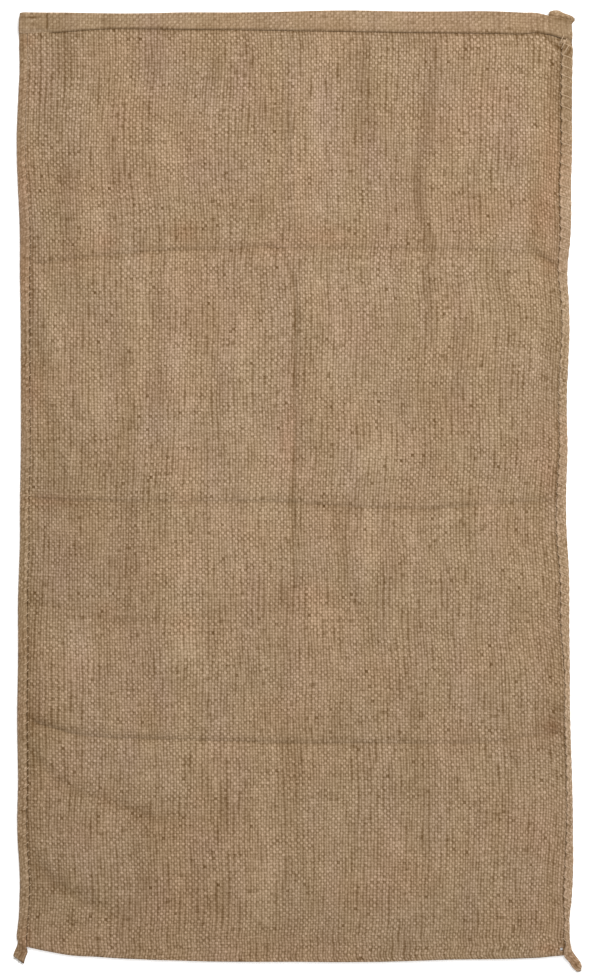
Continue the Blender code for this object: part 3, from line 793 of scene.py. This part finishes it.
def pinhole(across, up, high):
    """Squares the cloth's grid over the pinhole, and finds its column and its row in both layers."""
    row = int(np.argmin(np.abs(up[0] - HOLE_UP)))
    column = int(np.argmin(np.abs(across[:-1, row] + across[1:, row] - 2 * HOLE_ACROSS)))
    rows = []
    for layer in (high[column] > HELD / 2, high[column] < HELD / 2):
        off = np.where(layer[:-1], np.abs(up[column, :-1] + up[column, 1:] - 2 * HOLE_UP), np.inf)
        row = int(np.argmin(off))
        rows.append(row)
        run = np.sign(up[column, row + 1] - up[column, row]) * HOLE_WIDE / 2
        for side, place in ((0, -HOLE_WIDE / 2), (1, HOLE_WIDE / 2)):
            across[column + side, row : row + 2] = HOLE_ACROSS + place
            up[column + side, row] = HOLE_UP - run
            up[column + side, row + 1] = HOLE_UP + run
    return [(column, row) for row in rows]


def both_faces(up, high, thick):
    """Offsets the middle surface to its two faces, each as grids of up and high."""
    run_up = np.gradient(up, axis=1)
    run_high = np.gradient(high, axis=1)
    length = np.hypot(run_up, run_high)
    side_up = -run_high / length * thick / 2
    side_high = run_up / length * thick / 2
    return (up + side_up, high + side_high), (up - side_up, high - side_high)


# ---------------------------------------------------------------- the seams' shape


class Seam:
    """One side seam: a rolled edge from its lower tail up to its top, pinched by stitches."""

    def __init__(self, sewing):
        self.sewing = sewing
        rows = list(sewing.bottom[::-1])
        low = rows[-1].outer_up + 4
        high = sewing.top[0].inner_up - 1 if sewing.top else SEAM_TOP
        heights = [row.up for row in SIDES if low < row.up < high]
        if not sewing.top:
            heights.append(high)
        heights = np.array(heights, float)
        outers = read(SIDES, "up", sewing.side, heights)
        back = sewing.back * on_stretch(heights, *SET_BACK_STRETCH)
        widths = read(SIDES, "up", sewing.side + "_ridge", heights) - back
        inwards = 1 if sewing.side == "left" else -1
        highs = RIDGE_HIGH - FLATTER * (1 - read(GROOVES, "up", sewing.side, heights))
        for up, outer, width, ridge_high in zip(heights, outers, widths, highs):
            rows.append(Tail(outer + inwards * width, up, outer, up, ridge_high))
        rows += sewing.top
        table = np.array(rows, float)
        self.columns = {name: table[:, place] for place, name in enumerate(Tail._fields)}
        middle_across = (self.columns["inner"] + self.columns["outer"]) / 2
        middle_up = (self.columns["inner_up"] + self.columns["outer_up"]) / 2
        runs = np.hypot(np.diff(middle_across), np.diff(middle_up))
        self.at = np.concatenate([[0], np.cumsum(runs)])
        self.length = self.at[-1]

    def column(self, name, along):
        return smooth_between(self.at, self.columns[name], along)

    def foot(self, up):
        """How far across the ridge's inner foot stands, at heights up the sack."""
        along = np.arange(0, self.length, 1.0)
        heights = self.column("inner_up", along)
        below_turn = heights < TURN_UP
        return np.interp(up, heights[below_turn], self.column("inner", along)[below_turn])

    def phase(self, along):
        """Counts the stitches along the seam, which a hand has not spaced evenly."""
        uneven = rough(along, 0 * along, 55, 1, 6.5 if self.sewing.side == "left" else 2.2)
        return along / self.sewing.pitch + 0.9 * uneven

    def sewn(self, along):
        """1 where the seam joins the cloth's two layers, and 0 along its tails and over the hem."""
        return on_stretch(self.column("inner_up", along), *SEWN_STRETCH)

    def surface(self, along, place, out=0.0):
        """Points on the seam, along it and at places round its section, pushed out by a distance."""
        along, place = np.broadcast_arrays(along, place)
        table = np.array(RIDGE_SECTION, float)
        counts = np.arange(len(table))
        wide, high, over, _ = (np.interp(place, counts, column) for column in table.T)
        inner = np.stack([self.column("inner", along), self.column("inner_up", along)], axis=-1)
        outer = np.stack([self.column("outer", along), self.column("outer_up", along)], axis=-1)
        width = np.linalg.norm(outer - inner, axis=-1)
        outwards = (outer - inner) / width[..., None]
        tall = self.column("high", along) * (1 - UNDER_HEM * self.under_hem(along))
        bulge = np.abs(np.sin(math.pi * self.phase(along)))
        sewn = self.sewn(along)
        overhang = (0.3 + 0.7 * bulge) * self.sewing.over * over * np.maximum(sewn, LEAN)
        swell = self.sewing.swell * (0.75 + 0.25 * bulge) * wide**3 * (0.3 + 0.7 * sewn)
        from_inner = width * wide - overhang + swell
        from_floor = tall * high * (1 + 0.16 * (bulge - 0.62) * wide * (1 - wide) * (0.3 + 0.7 * sewn))
        push_across = (wide - 0.5) * width
        push_high = (high - 0.4) * tall
        push = np.maximum(np.hypot(push_across, push_high), 0.001)
        from_inner = from_inner + out * push_across / push
        from_floor = from_floor + out * push_high / push
        flat = inner + outwards * from_inner[..., None]
        return np.concatenate([flat, from_floor[..., None]], axis=-1)

    def under_hem(self, along):
        """1 where the seam passes under the hem's end, and 0 elsewhere."""
        return on_stretch(self.column("inner_up", along), *UNDER_HEM_STRETCH)

    def stitches(self):
        """Where along the seam its stitches cross it."""
        along = np.arange(0, self.length, 0.1)
        count = np.floor(self.phase(along))
        found = along[1:][np.diff(count) > 0]
        up = self.column("inner_up", found)
        return found[(up > STITCHED[0]) & (up < STITCHED[1])]

    def stitch_path(self, centre, points):
        """The way of one stitch's twine: out of the cloth, over the ridge and in under its outer side."""
        way = np.linspace(0, 1, points)
        along = centre + self.sewing.slant * (0.5 - way)
        sunk = -TWINE * (self.sewing.sunk + (0.8 - self.sewing.sunk) * way**5)
        over = self.surface(along, SHOULDER + (OUTER_FOOT - SHOULDER) * way, sunk)
        edge = self.surface(along[0], 0.0)
        outwards = np.sign(over[-1, 0] - edge[0])
        risen = np.array([edge[0] - outwards * BITE * 0.45, over[0, 1] + 0.6, HELD + 0.1])
        bitten = np.array([edge[0] - outwards * BITE, over[0, 1] + 1.4, HELD - PRESSED - TWINE * 0.4])
        return np.concatenate([bitten[None], risen[None], over])


# ---------------------------------------------------------------- meshes


def signed_volume(points, faces):
    """More than 0 when the faces point outwards."""
    corners = points[faces]
    first = np.einsum("ij,ij->i", corners[:, 0], np.cross(corners[:, 1], corners[:, 2]))
    second = np.einsum("ij,ij->i", corners[:, 0], np.cross(corners[:, 2], corners[:, 3]))
    return (first + second).sum()


def pierced(quads, index, holes):
    """A flat loop mesh's faces with holes cut through it, each at a (loop, row) of its two faces."""
    count, around = index.shape
    rows = around // 2
    cut = np.zeros((count - 1, around), dtype=bool)
    walls = []
    for loop, row in holes:
        cut[loop, row] = True
        cut[loop, around - 2 - row] = True
        near = (index[loop, row], index[loop, row + 1], index[loop + 1, row + 1], index[loop + 1, row])
        back = 2 * rows - 1 - row
        far = (index[loop, back], index[loop, back - 1], index[loop + 1, back - 1], index[loop + 1, back])
        for side in range(4):
            after = (side + 1) % 4
            walls.append((near[side], near[after], far[after], far[side]))
    return np.concatenate([quads[~cut.ravel()], np.array(walls)])


def grid_mesh(name, loops, threads, looks, material, holes=()):
    """A closed piece from loops of points [loop, point, 3] in sack millimetres.

    threads gives each point its place in the weave, and looks its named shares for the material.
    """
    count, around = loops.shape[:2]
    points = loops.reshape(-1, 3) * MM + np.array(ZERO)
    index = np.arange(count * around).reshape(count, around)
    here = index[:-1]
    there = index[1:]
    quads = np.stack([here, np.roll(here, -1, 1), np.roll(there, -1, 1), there], axis=-1).reshape(-1, 4)
    if holes:
        quads = pierced(quads, index, holes)
    half = around // 2
    ends = []
    for loop, forward in ((index[0], False), (index[-1], True)):
        out = loop[:half]
        back = loop[half:][::-1]
        strip = np.stack([out[:-1], out[1:], back[1:], back[:-1]], axis=-1)
        ends.append(strip if forward else strip[:, ::-1])
    faces = np.concatenate([quads, *ends])
    if signed_volume(points, faces) < 0:
        faces = faces[:, ::-1]
    mesh = bpy.data.meshes.new(name)
    mesh.from_pydata(points.tolist(), [], faces.tolist())
    mesh.shade_smooth()
    corners = np.zeros(len(mesh.loops), dtype=np.int32)
    mesh.loops.foreach_get("vertex_index", corners)
    layer = mesh.uv_layers.new(name="threads")
    layer.data.foreach_set("uv", threads.reshape(-1, 2)[corners].astype(np.float32).ravel())
    for look, values in looks.items():
        attribute = mesh.attributes.new(look, "FLOAT", "POINT")
        attribute.data.foreach_set("value", values.astype(np.float32).ravel())
    mesh.materials.append(material)
    return placed(name, mesh)


def placed(name, mesh):
    thing = bpy.data.objects.new(name, mesh)
    bpy.context.collection.objects.link(thing)
    return thing


def strand_tree():
    """Geometry Nodes that sweep a round strand along each path of a mesh's edges."""
    tree = bpy.data.node_groups.new("strands", "GeometryNodeTree")
    sockets = tree.interface
    sockets.new_socket("Paths", in_out="INPUT", socket_type="NodeSocketGeometry")
    sockets.new_socket("Strand thickness", in_out="INPUT", socket_type="NodeSocketFloat")
    sockets.new_socket("Strand sides", in_out="INPUT", socket_type="NodeSocketInt")
    sockets.new_socket("Strand material", in_out="INPUT", socket_type="NodeSocketMaterial")
    sockets.new_socket("Strands", in_out="OUTPUT", socket_type="NodeSocketGeometry")

    def add(kind):
        return tree.nodes.new(kind)

    given = add("NodeGroupInput")
    result = add("NodeGroupOutput")
    curves = add("GeometryNodeMeshToCurve")
    thin = add("GeometryNodeInputNamedAttribute")
    thin.data_type = "FLOAT"
    thin.inputs["Name"].default_value = "thin"
    radius = add("GeometryNodeSetCurveRadius")
    section = add("GeometryNodeCurvePrimitiveCircle")
    half = add("ShaderNodeMath")
    half.operation = "MULTIPLY"
    half.inputs[1].default_value = 0.5
    sweep = add("GeometryNodeCurveToMesh")
    sweep.inputs["Fill Caps"].default_value = True
    real = add("GeometryNodeRealizeInstances")
    finish = add("GeometryNodeSetMaterial")
    link = tree.links.new
    link(given.outputs["Paths"], curves.inputs["Mesh"])
    link(curves.outputs["Curve"], radius.inputs["Curve"])
    link(thin.outputs["Attribute"], radius.inputs["Radius"])
    link(thin.outputs["Attribute"], sweep.inputs["Scale"])
    link(given.outputs["Strand thickness"], half.inputs[0])
    link(half.outputs[0], section.inputs["Radius"])
    link(given.outputs["Strand sides"], section.inputs["Resolution"])
    link(radius.outputs["Curve"], sweep.inputs["Curve"])
    link(section.outputs["Curve"], sweep.inputs["Profile Curve"])
    link(sweep.outputs["Mesh"], real.inputs["Geometry"])
    link(real.outputs["Geometry"], finish.inputs["Geometry"])
    link(given.outputs["Strand material"], finish.inputs["Material"])
    link(finish.outputs["Geometry"], result.inputs["Strands"])
    return tree


def strands(name, tree, paths, thin, thickness, sides, material):
    """A piece of round strands along paths [strand, point, 3] in sack millimetres."""
    count, points = paths.shape[:2]
    index = np.arange(count * points).reshape(count, points)
    edges = np.stack([index[:, :-1], index[:, 1:]], axis=-1).reshape(-1, 2)
    places = paths.reshape(-1, 3) * MM + np.array(ZERO)
    mesh = bpy.data.meshes.new(name + "_paths")
    mesh.from_pydata(places.tolist(), edges.tolist(), [])
    attribute = mesh.attributes.new("thin", "FLOAT", "POINT")
    attribute.data.foreach_set("value", np.broadcast_to(thin, (count, points)).astype(np.float32).ravel())
    path_object = placed(name + "_paths", mesh)
    modifier = path_object.modifiers.new("strands", "NODES")
    modifier.node_group = tree
    inputs = {item.name: item.identifier for item in tree.interface.items_tree if item.in_out == "INPUT"}
    modifier[inputs["Strand thickness"]] = thickness * MM
    modifier[inputs["Strand sides"]] = sides
    modifier[inputs["Strand material"]] = material
    seen = path_object.evaluated_get(bpy.context.evaluated_depsgraph_get())
    made = bpy.data.meshes.new_from_object(seen)
    path_object.modifiers.remove(modifier)
    bpy.data.objects.remove(path_object)
    made.name = name
    made.shade_smooth()
    return placed(name, made)


# ---------------------------------------------------------------- materials


class Signal:
    """A value inside a material, so that sums and products of values can be written as such."""

    def __init__(self, tree, socket):
        self.tree = tree
        self.socket = socket

    def math(self, operation, *values):
        node = self.tree.nodes.new("ShaderNodeMath")
        node.operation = operation
        for slot, value in zip(node.inputs, values):
            if isinstance(value, Signal):
                self.tree.links.new(value.socket, slot)
            else:
                slot.default_value = value
        return Signal(self.tree, node.outputs[0])

    def __add__(self, other):
        return self.math("ADD", self, other)

    def __sub__(self, other):
        return self.math("SUBTRACT", self, other)

    def __rsub__(self, other):
        return self.math("SUBTRACT", other, self)

    def __mul__(self, other):
        return self.math("MULTIPLY", self, other)

    def __truediv__(self, other):
        return self.math("DIVIDE", self, other)

    def power(self, exponent):
        return self.math("POWER", self, exponent)

    def floor(self):
        return self.math("FLOOR", self)

    def size(self):
        return self.math("ABSOLUTE", self)

    def sine(self):
        return self.math("SINE", self)

    def sign(self):
        return self.math("SIGN", self)

    def larger(self, other, softly=0.0):
        return self.math("SMOOTH_MAX", self, other, softly)

    def between(self, low, high):
        """0 below low, 1 above high, and a soft step between them."""
        node = self.tree.nodes.new("ShaderNodeMapRange")
        node.interpolation_type = "SMOOTHSTEP"
        self.tree.links.new(self.socket, node.inputs["Value"])
        node.inputs["From Min"].default_value = low
        node.inputs["From Max"].default_value = high
        return Signal(self.tree, node.outputs["Result"])


class Cloth:
    """A material's node tree, with the calls that its patterns are made of."""

    def __init__(self, name, roughness):
        self.material = bpy.data.materials.new(name)
        self.material.use_nodes = True
        self.tree = self.material.node_tree
        self.shader = self.tree.nodes["Principled BSDF"]
        self.shader.inputs["Roughness"].default_value = roughness
        self.shader.inputs["Specular IOR Level"].default_value = 0.08

    def threads(self):
        """The place in the weave: warp threads counted across and picks counted up."""
        node = self.tree.nodes.new("ShaderNodeUVMap")
        node.uv_map = "threads"
        split = self.tree.nodes.new("ShaderNodeSeparateXYZ")
        self.tree.links.new(node.outputs[0], split.inputs[0])
        return Signal(self.tree, split.outputs["X"]), Signal(self.tree, split.outputs["Y"])

    def place(self):
        """The place on the piece, in metres."""
        node = self.tree.nodes.new("ShaderNodeTexCoord")
        return Signal(self.tree, node.outputs["Object"])

    def look(self, name):
        """A named share that the mesh carries."""
        node = self.tree.nodes.new("ShaderNodeAttribute")
        node.attribute_name = name
        return Signal(self.tree, node.outputs["Fac"])

    def pair(self, x, y):
        node = self.tree.nodes.new("ShaderNodeCombineXYZ")
        for slot, value in zip(node.inputs, (x, y)):
            if isinstance(value, Signal):
                self.tree.links.new(value.socket, slot)
            else:
                slot.default_value = value
        return Signal(self.tree, node.outputs[0])

    def blotches(self, place, scale=1.0, detail=0.0, dimensions="2D"):
        """Smooth noise from 0 to 1 over a place."""
        node = self.tree.nodes.new("ShaderNodeTexNoise")
        node.noise_dimensions = dimensions
        node.inputs["Scale"].default_value = scale
        node.inputs["Detail"].default_value = detail
        self.tree.links.new(place.socket, node.inputs["Vector"])
        return Signal(self.tree, node.outputs[0])

    def chance(self, place):
        """A different number from 0 to 1 for each place."""
        node = self.tree.nodes.new("ShaderNodeTexWhiteNoise")
        node.noise_dimensions = "2D"
        self.tree.links.new(place.socket, node.inputs["Vector"])
        return Signal(self.tree, node.outputs["Value"])

    def colour(self, tone, stops, casts=()):
        """Colours the cloth from its tone, through stops from dark to light, with casts where told."""
        node = self.tree.nodes.new("ShaderNodeValToRGB")
        ramp = node.color_ramp
        while len(ramp.elements) < len(stops):
            ramp.elements.new(0.5)
        for element, (place, colour) in zip(ramp.elements, stops):
            element.position = place
            element.color = (*colour, 1)
        self.tree.links.new(tone.socket, node.inputs[0])
        found = node.outputs[0]
        for strength, cast in casts:
            mix = self.tree.nodes.new("ShaderNodeMix")
            mix.data_type = "RGBA"
            mix.blend_type = "MULTIPLY"
            self.tree.links.new(strength.socket, mix.inputs["Factor"])
            self.tree.links.new(found, mix.inputs["A"])
            mix.inputs["B"].default_value = (*cast, 1)
            found = mix.outputs["Result"]
        self.tree.links.new(found, self.shader.inputs["Base Color"])

    def relief(self, height, deep):
        """Bumps the surface by a height from 0 to 1 that is this many metres deep."""
        node = self.tree.nodes.new("ShaderNodeBump")
        node.inputs["Strength"].default_value = 1.0
        node.inputs["Distance"].default_value = deep
        self.tree.links.new(height.socket, node.inputs["Height"])
        self.tree.links.new(node.outputs[0], self.shader.inputs["Normal"])


JUTE_STOPS = (
    (0.0, (0.032, 0.013, 0.004)),
    (0.30, (0.120, 0.065, 0.023)),
    (0.62, (0.281, 0.191, 0.108)),
    (1.0, (0.503, 0.367, 0.243)),
)
RED_CAST = (1.04, 0.93, 0.90)
GREY_CAST = (1.0, 0.99, 1.10)
BLEACHED_STOPS = (
    (0.0, (0.16, 0.13, 0.10)),
    (1.0, (0.62, 0.56, 0.47)),
)


def woven_jute(name):
    """Plain-woven jute: slubby threads over and under each other, with painted shade where the weave stands
    open.
    """
    cloth = Cloth(name, 0.92)
    across, along = cloth.threads()
    smooth = cloth.look("smooth")
    # Warp threads stand in pairs, with a wider gap on one side of each.
    lift = (across * math.pi).sine()
    across = across + lift * cloth.look("pairing") * 0.5
    end = across.floor()
    pick = along.floor()
    wave_across = (across * math.pi).sine()

    # Every thread is thick and thin by turns, and wanders a little between its neighbours.
    end_slub = cloth.blotches(cloth.pair(end * 3.7, along * 0.16))
    end_wander = cloth.blotches(cloth.pair(end * 5.3 + 40, along * 0.10))
    pick_slub = cloth.blotches(cloth.pair(across * 0.15, pick * 3.7))
    from_end = across - end - 0.5 + (end_wander - 0.5) * 0.75
    from_pick = along - pick - 0.5 + (pick_slub - 0.5) * 1.2
    # The yarn's twist slants each thread's crown. The crowns stand clear in places only.
    clear = cloth.blotches(cloth.pair(across * 0.10 + 7, along * 0.07)).between(0.30, 0.70) * 0.6 + 0.7
    wave_along = ((along - from_end * 0.15) * math.pi).sine()
    end_round = 1 - (from_end / (end_slub * 0.5 + 0.36)).power(2)
    pick_round = 1 - (from_pick / (pick_slub * 0.4 + 0.55)).power(2)
    end_high = end_round * 0.34 + wave_along * wave_across.sign() * clear * 0.50 + 0.02
    pick_high = pick_round * 0.10 - wave_across * wave_along.sign() * 0.22 + pick_slub * 0.24 + 0.03
    height = end_high.larger(pick_high, 0.25).larger(-0.2, 0.2)
    cloth.relief(height * (1 - smooth * 0.5), 0.0004)

    # Gaps between warp threads are painted dark in runs, as painted shade, and some picks are lighter in
    # runs.
    gap = (across + 0.5).floor()
    open_run = cloth.blotches(cloth.pair(gap * 4.1 + 90, along * 0.17)).between(0.25, 0.80)
    gap_dark = (open_run * 0.34 + 0.32) * from_end.size().between(0.0, 0.54)
    light_run = cloth.blotches(cloth.pair(across * 0.16 + 60, pick * 6.1))
    pick_light = light_run.between(0.60, 0.80) * pick_round.between(0.4, 1.0)
    streak = cloth.blotches(cloth.pair(end * 2.9, along * 0.06))
    bead = cloth.blotches(cloth.pair(end * 7.3, along * 1.1 + 30))
    fibre = cloth.blotches(cloth.pair(across * 1.4, along * 2.1), 1.0, 1.0)
    speck = cloth.chance(cloth.pair(end, pick)).between(0.985, 0.995)
    # Painted light and shade in the weave: high places are coloured lighter and low places darker.
    lit = height.between(-0.45, 0.85)
    tone = (lit * 0.73 + 0.137 + pick_light * 0.05) * (1 - gap_dark * 0.44 * (1 - smooth * 0.8))
    tone = tone * (streak * 0.16 + 0.92)
    tone = tone * (bead * 0.44 + 0.78) * (fibre * 0.50 + 0.75)
    tone = tone * (1 - speck * 0.35)
    tone = tone + (0.59 - tone) * smooth * 0.4
    tone = tone * cloth.look("shade")
    cloth.colour(tone, JUTE_STOPS, ((cloth.look("red"), RED_CAST), (cloth.look("grey"), GREY_CAST)))
    return cloth.material


def spun_jute(name, light, stops=JUTE_STOPS):
    """Twine and loose fibres: fine lengthwise streaks on a plain jute colour."""
    cloth = Cloth(name, 0.85)
    place = cloth.place()
    grain = cloth.blotches(place, 900.0, 2.0, "3D")
    drift = cloth.blotches(place, 60.0, 0.0, "3D")
    cloth.relief(grain, 0.0002)
    cloth.colour((grain * 0.30 + drift * 0.25 + light), stops)
    return cloth.material


# ---------------------------------------------------------------- the pieces


def redness(across, up):
    """How much redder than the rest the jute is at each place, from 0 to 1."""
    red = 0.15 + 0.4 * rough(across, up, 60, 45, 12.5) + painted(across, up, REDDER)
    return np.clip(red, 0, 1)


def greyness(across, up):
    """How much greyer than the rest it is, from 0 to 1."""
    grey = 0.2 + 0.6 * rough(across, up, 22, 70, 15.5) + painted(across, up, GREYER)
    return np.clip(grey, 0, 1)


def hessian_sheet(seams, material):
    """The folded length of hessian with its turned hems."""
    across, up, high, travel, share, shade, smooth = cloth_grid(*seams)
    holes = pinhole(across, up, high)
    (face_up, face_high), (other_up, other_high) = both_faces(up, high, CLOTH)
    face = np.stack([across, face_up, face_high], axis=-1)
    other = np.stack([across, other_up, other_high], axis=-1)
    loops = np.concatenate([other, face[:, ::-1]], axis=1)
    ends = share * WARP_ENDS + 1.1 * rough(across, travel, 45, 190, 1.5)
    picks = travel / PICK + 0.8 * rough(across, travel, 160, 40, 2.5)
    threads = np.stack([ends, picks], axis=-1)
    threads = np.concatenate([threads, threads[:, ::-1]], axis=1)
    pairing = 0.16 + 0.3 * rough(across, travel, 40, 90, 8.5)
    looks = {
        "shade": 1 + shade / 100,
        "pairing": np.clip(pairing, 0, 0.55),
        "smooth": smooth,
        "red": redness(across, up),
        "grey": greyness(across, up),
    }
    looks = {name: np.concatenate([values, values[:, ::-1]], axis=1) for name, values in looks.items()}
    piece = grid_mesh("hessian_sheet", loops, threads, looks, material, holes)
    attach(piece, "root")
    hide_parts("sack_cloth")
    return piece


def rolled_edge(seam, node, material):
    """A seam's rolled edge with its tails."""
    along = np.linspace(0, seam.length, int(seam.length / SEAM_STEP))[:, None]
    count = len(RIDGE_SECTION)
    place = np.arange(count, dtype=float)[None, :]
    loops = seam.surface(along, place)
    table = np.array(RIDGE_SECTION, float)
    bulge = np.abs(np.sin(math.pi * seam.phase(along)))
    across = loops[..., 0]
    up = loops[..., 1]
    # Painted light and shade round the ridge: its inner wall is painted darker, the more so where the
    # groove is deep, and its rim gets a painted highlight where the ridge bulges and painted shade at the
    # pinches.
    worn = np.where(table[:, 3] < 1, 1 - (1 - table[:, 3]) * groove_depth(across, up), table[:, 3])
    rim = np.exp(-(((place - RIM) / RIM_REACH) ** 2))
    shade = worn * (0.98 + 0.06 * bulge + 0.16 * rim * (bulge - 0.5)) * seam.sewing.light
    shade = shade + 0.13 * rough(along, place, 5, 4, 3.3)
    shade = shade + painted(across, up, RIDGE_PATCHES) / 100
    steps = np.linalg.norm(np.diff(loops, axis=1), axis=-1)
    around = np.concatenate([0 * along, np.cumsum(steps, axis=1)], axis=1)
    turned = 0.35 * rough(along, around, 20, 12, 4.4)
    threads = np.stack([around / PICK + turned, along / PICK + 2 * turned + around * 0.12], axis=-1)
    looks = {
        "shade": shade,
        "pairing": 0.2 + 0 * around,
        "smooth": np.clip(0.5 + 0.6 * rough(along, place, 40, 30, 9.9), 0, 1),
        "red": redness(across, up),
        "grey": greyness(across, up),
    }
    piece = grid_mesh("rolled_edge_" + seam.sewing.side, loops, threads, looks, material)
    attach(piece, "root")
    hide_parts(node)
    return piece


def overcast_stitches(seam, tree, material):
    """The twine that is sewn over a seam's rolled edge, one slanted pass to each pinch."""
    paths = [seam.stitch_path(centre, STITCH_POINTS) for centre in seam.stitches()]
    if seam.sewing.side == "right":
        way = np.linspace(-1, 1, CORNER_POINTS)[:, None]
        for stitch in CORNER_STITCHES:
            inner = np.array([stitch.inner, stitch.inner_up])
            outer = np.array([stitch.outer, stitch.outer_up])
            flat = (inner + outer) / 2 + (outer - inner) / 2 * way
            paths.append(np.concatenate([flat, stitch.high - 2.0 * way**4], axis=1))
    name = "overcast_stitches_" + seam.sewing.side
    piece = strands(name, tree, np.stack(paths), 1.0, TWINE, 6, material)
    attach(piece, "root")
    return piece


def curled(chances, starts, headings, lengths, ends_high, arch):
    """Paths of loose strands: each bends as it runs, from its start to its end's height."""
    way = np.linspace(0, 1, STRAND_POINTS)[None, :]
    bend = chances.uniform(-1.1, 1.1, (len(starts), 1)) * way
    heading = np.radians(headings)[:, None] + bend
    step = lengths[:, None] / (STRAND_POINTS - 1)
    across = starts[:, :1] + np.cumsum(np.cos(heading) * step, axis=1) - np.cos(heading[:, :1]) * step
    up = starts[:, 1:2] + np.cumsum(np.sin(heading) * step, axis=1) - np.sin(heading[:, :1]) * step
    high = starts[:, 2:] + (ends_high[:, None] - starts[:, 2:]) * way + arch * np.sin(math.pi * way)
    return np.stack([across, up, high], axis=-1)


def frayed_ends(tree, material):
    """The loose yarn ends at the tails' cut ends."""
    chances = np.random.default_rng(FRAY_SEED)
    paths = []
    for fray in FRAYS:
        share = (np.arange(fray.count)[:, None] + chances.uniform(0.2, 0.8, (fray.count, 1))) / fray.count
        ends = np.array([[fray.across, fray.up], [fray.to_across, fray.to_up]])
        starts = ends[0] + (ends[1] - ends[0]) * share
        starts = np.concatenate([starts, fray.high * chances.uniform(0.2, 0.9, (fray.count, 1))], axis=1)
        headings = fray.heading + fray.fan * chances.uniform(-0.5, 0.5, fray.count)
        lengths = fray.long * chances.uniform(0.5, 1.0, fray.count)
        ends_high = np.maximum(starts[:, 2] * 0.5, FRAYED_YARN / 2)
        paths.append(curled(chances, starts, headings, lengths, ends_high, 0.3))
    thin = np.linspace(1, 0.3, STRAND_POINTS)[None, :]
    piece = strands("frayed_ends", tree, np.concatenate(paths), thin, FRAYED_YARN, 5, material)
    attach(piece, "root")
    return piece


def stray_fibres(cloth, seams, tree, material):
    """Fine fibres that stand up from the cloth and out from the seams."""
    chances = np.random.default_rng(FIBRE_SEED)
    points = np.zeros(len(cloth.data.vertices) * 3)
    cloth.data.vertices.foreach_get("co", points)
    points = (points.reshape(-1, 3) - np.array(ZERO)) / MM
    upper = points[(points[:, 2] > HELD - PRESSED - 0.2) & (np.abs(points[:, 0]) < EDGE)]
    starts = upper[chances.integers(0, len(upper), CLOTH_FIBRES)]
    lengths = chances.uniform(3, 11, len(starts))
    headings = chances.uniform(0, 360, len(starts))
    paths = [curled(chances, starts, headings, lengths, starts[:, 2] + 0.5, 0.9)]
    for seam in seams:
        along = np.sort(chances.uniform(10, seam.length - 10, SEAM_FIBRES))
        starts = seam.surface(along, chances.uniform(7, 11, len(along)), 0.0)
        outwards = 180 if seam.sewing.side == "left" else 0
        headings = outwards + chances.uniform(-80, 80, len(along))
        lengths = chances.uniform(1.5, 5, len(along))
        paths.append(curled(chances, starts, headings, lengths, starts[:, 2] * 0.6, 0.5))
    thin = np.linspace(1, 0.4, STRAND_POINTS)[None, :]
    piece = strands("stray_fibres", tree, np.concatenate(paths), thin, STRAY_FIBRE, 3, material)
    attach(piece, "root")
    return piece


# ---------------------------------------------------------------- floor, light and camera


def pale_floor():
    """A plain pale floor, wide enough to fill every view."""
    material = bpy.data.materials.new("pale_floor")
    material.use_nodes = True
    shader = material.node_tree.nodes["Principled BSDF"]
    shader.inputs["Base Color"].default_value = (0.95, 0.95, 0.95, 1)
    shader.inputs["Roughness"].default_value = 0.9
    shader.inputs["Emission Color"].default_value = (1, 1, 1, 1)
    shader.inputs["Emission Strength"].default_value = 0.35
    mesh = bpy.data.meshes.new("pale_floor")
    wide = FLOOR_WIDE
    corners = [(-wide, -wide, 0), (wide, -wide, 0), (wide, wide, 0), (-wide, wide, 0)]
    mesh.from_pydata(corners, [], [(0, 1, 2, 3)])
    mesh.materials.append(material)
    floor = placed("pale_floor", mesh)
    return floor


def studio_light():
    """A large soft light beyond the mouth and to the right, over an even bright surround."""
    light = bpy.data.lights.new("soft_key", "AREA")
    light.shape = "DISK"
    light.size = KEY_SIZE
    light.energy = KEY_POWER
    key = bpy.data.objects.new("soft_key", light)
    key.location = KEY_PLACE
    key.rotation_mode = "QUATERNION"
    key.rotation_quaternion = key.location.to_track_quat("Z", "Y")
    bpy.context.collection.objects.link(key)
    world = bpy.data.worlds.new("bright_surround")
    world.use_nodes = True
    world.node_tree.nodes["Background"].inputs["Color"].default_value = (1, 1, 1, 1)
    world.node_tree.nodes["Background"].inputs["Strength"].default_value = SURROUND
    bpy.context.scene.world = world


def camera_above():
    """A camera that looks straight down on the sack."""
    data = bpy.data.cameras.new("camera_above")
    data.lens = LENS
    data.sensor_width = SENSOR
    camera = bpy.data.objects.new("camera_above", data)
    distance = FRAME_TALL / SENSOR * LENS
    camera.location = ZERO + Vector((AIM_ACROSS, AIM_UP, distance + HELD)) * MM
    data.clip_end = 100
    bpy.context.collection.objects.link(camera)
    bpy.context.scene.camera = camera


def main():
    camera_above()
    floor = pale_floor()
    studio_light()
    bpy.context.scene.view_settings.view_transform = "Standard"
    seams = (Seam(LEFT_SEWING), Seam(RIGHT_SEWING))
    cloth = hessian_sheet(seams, woven_jute("woven_jute"))
    rolled = woven_jute("rolled_jute")
    # The twine is coloured lighter than the cloth, as a painted highlight.
    twine = spun_jute("jute_twine", 0.66)
    fibre = spun_jute("jute_fibre", 0.52)
    bleached = spun_jute("bleached_jute", 0.30, BLEACHED_STOPS)
    tree = strand_tree()
    for seam, node in zip(seams, ("seam_left", "seam_right")):
        rolled_edge(seam, node, rolled)
        overcast_stitches(seam, tree, twine)
    frayed_ends(tree, bleached)
    stray_fibres(cloth, seams, tree, fibre)


main()
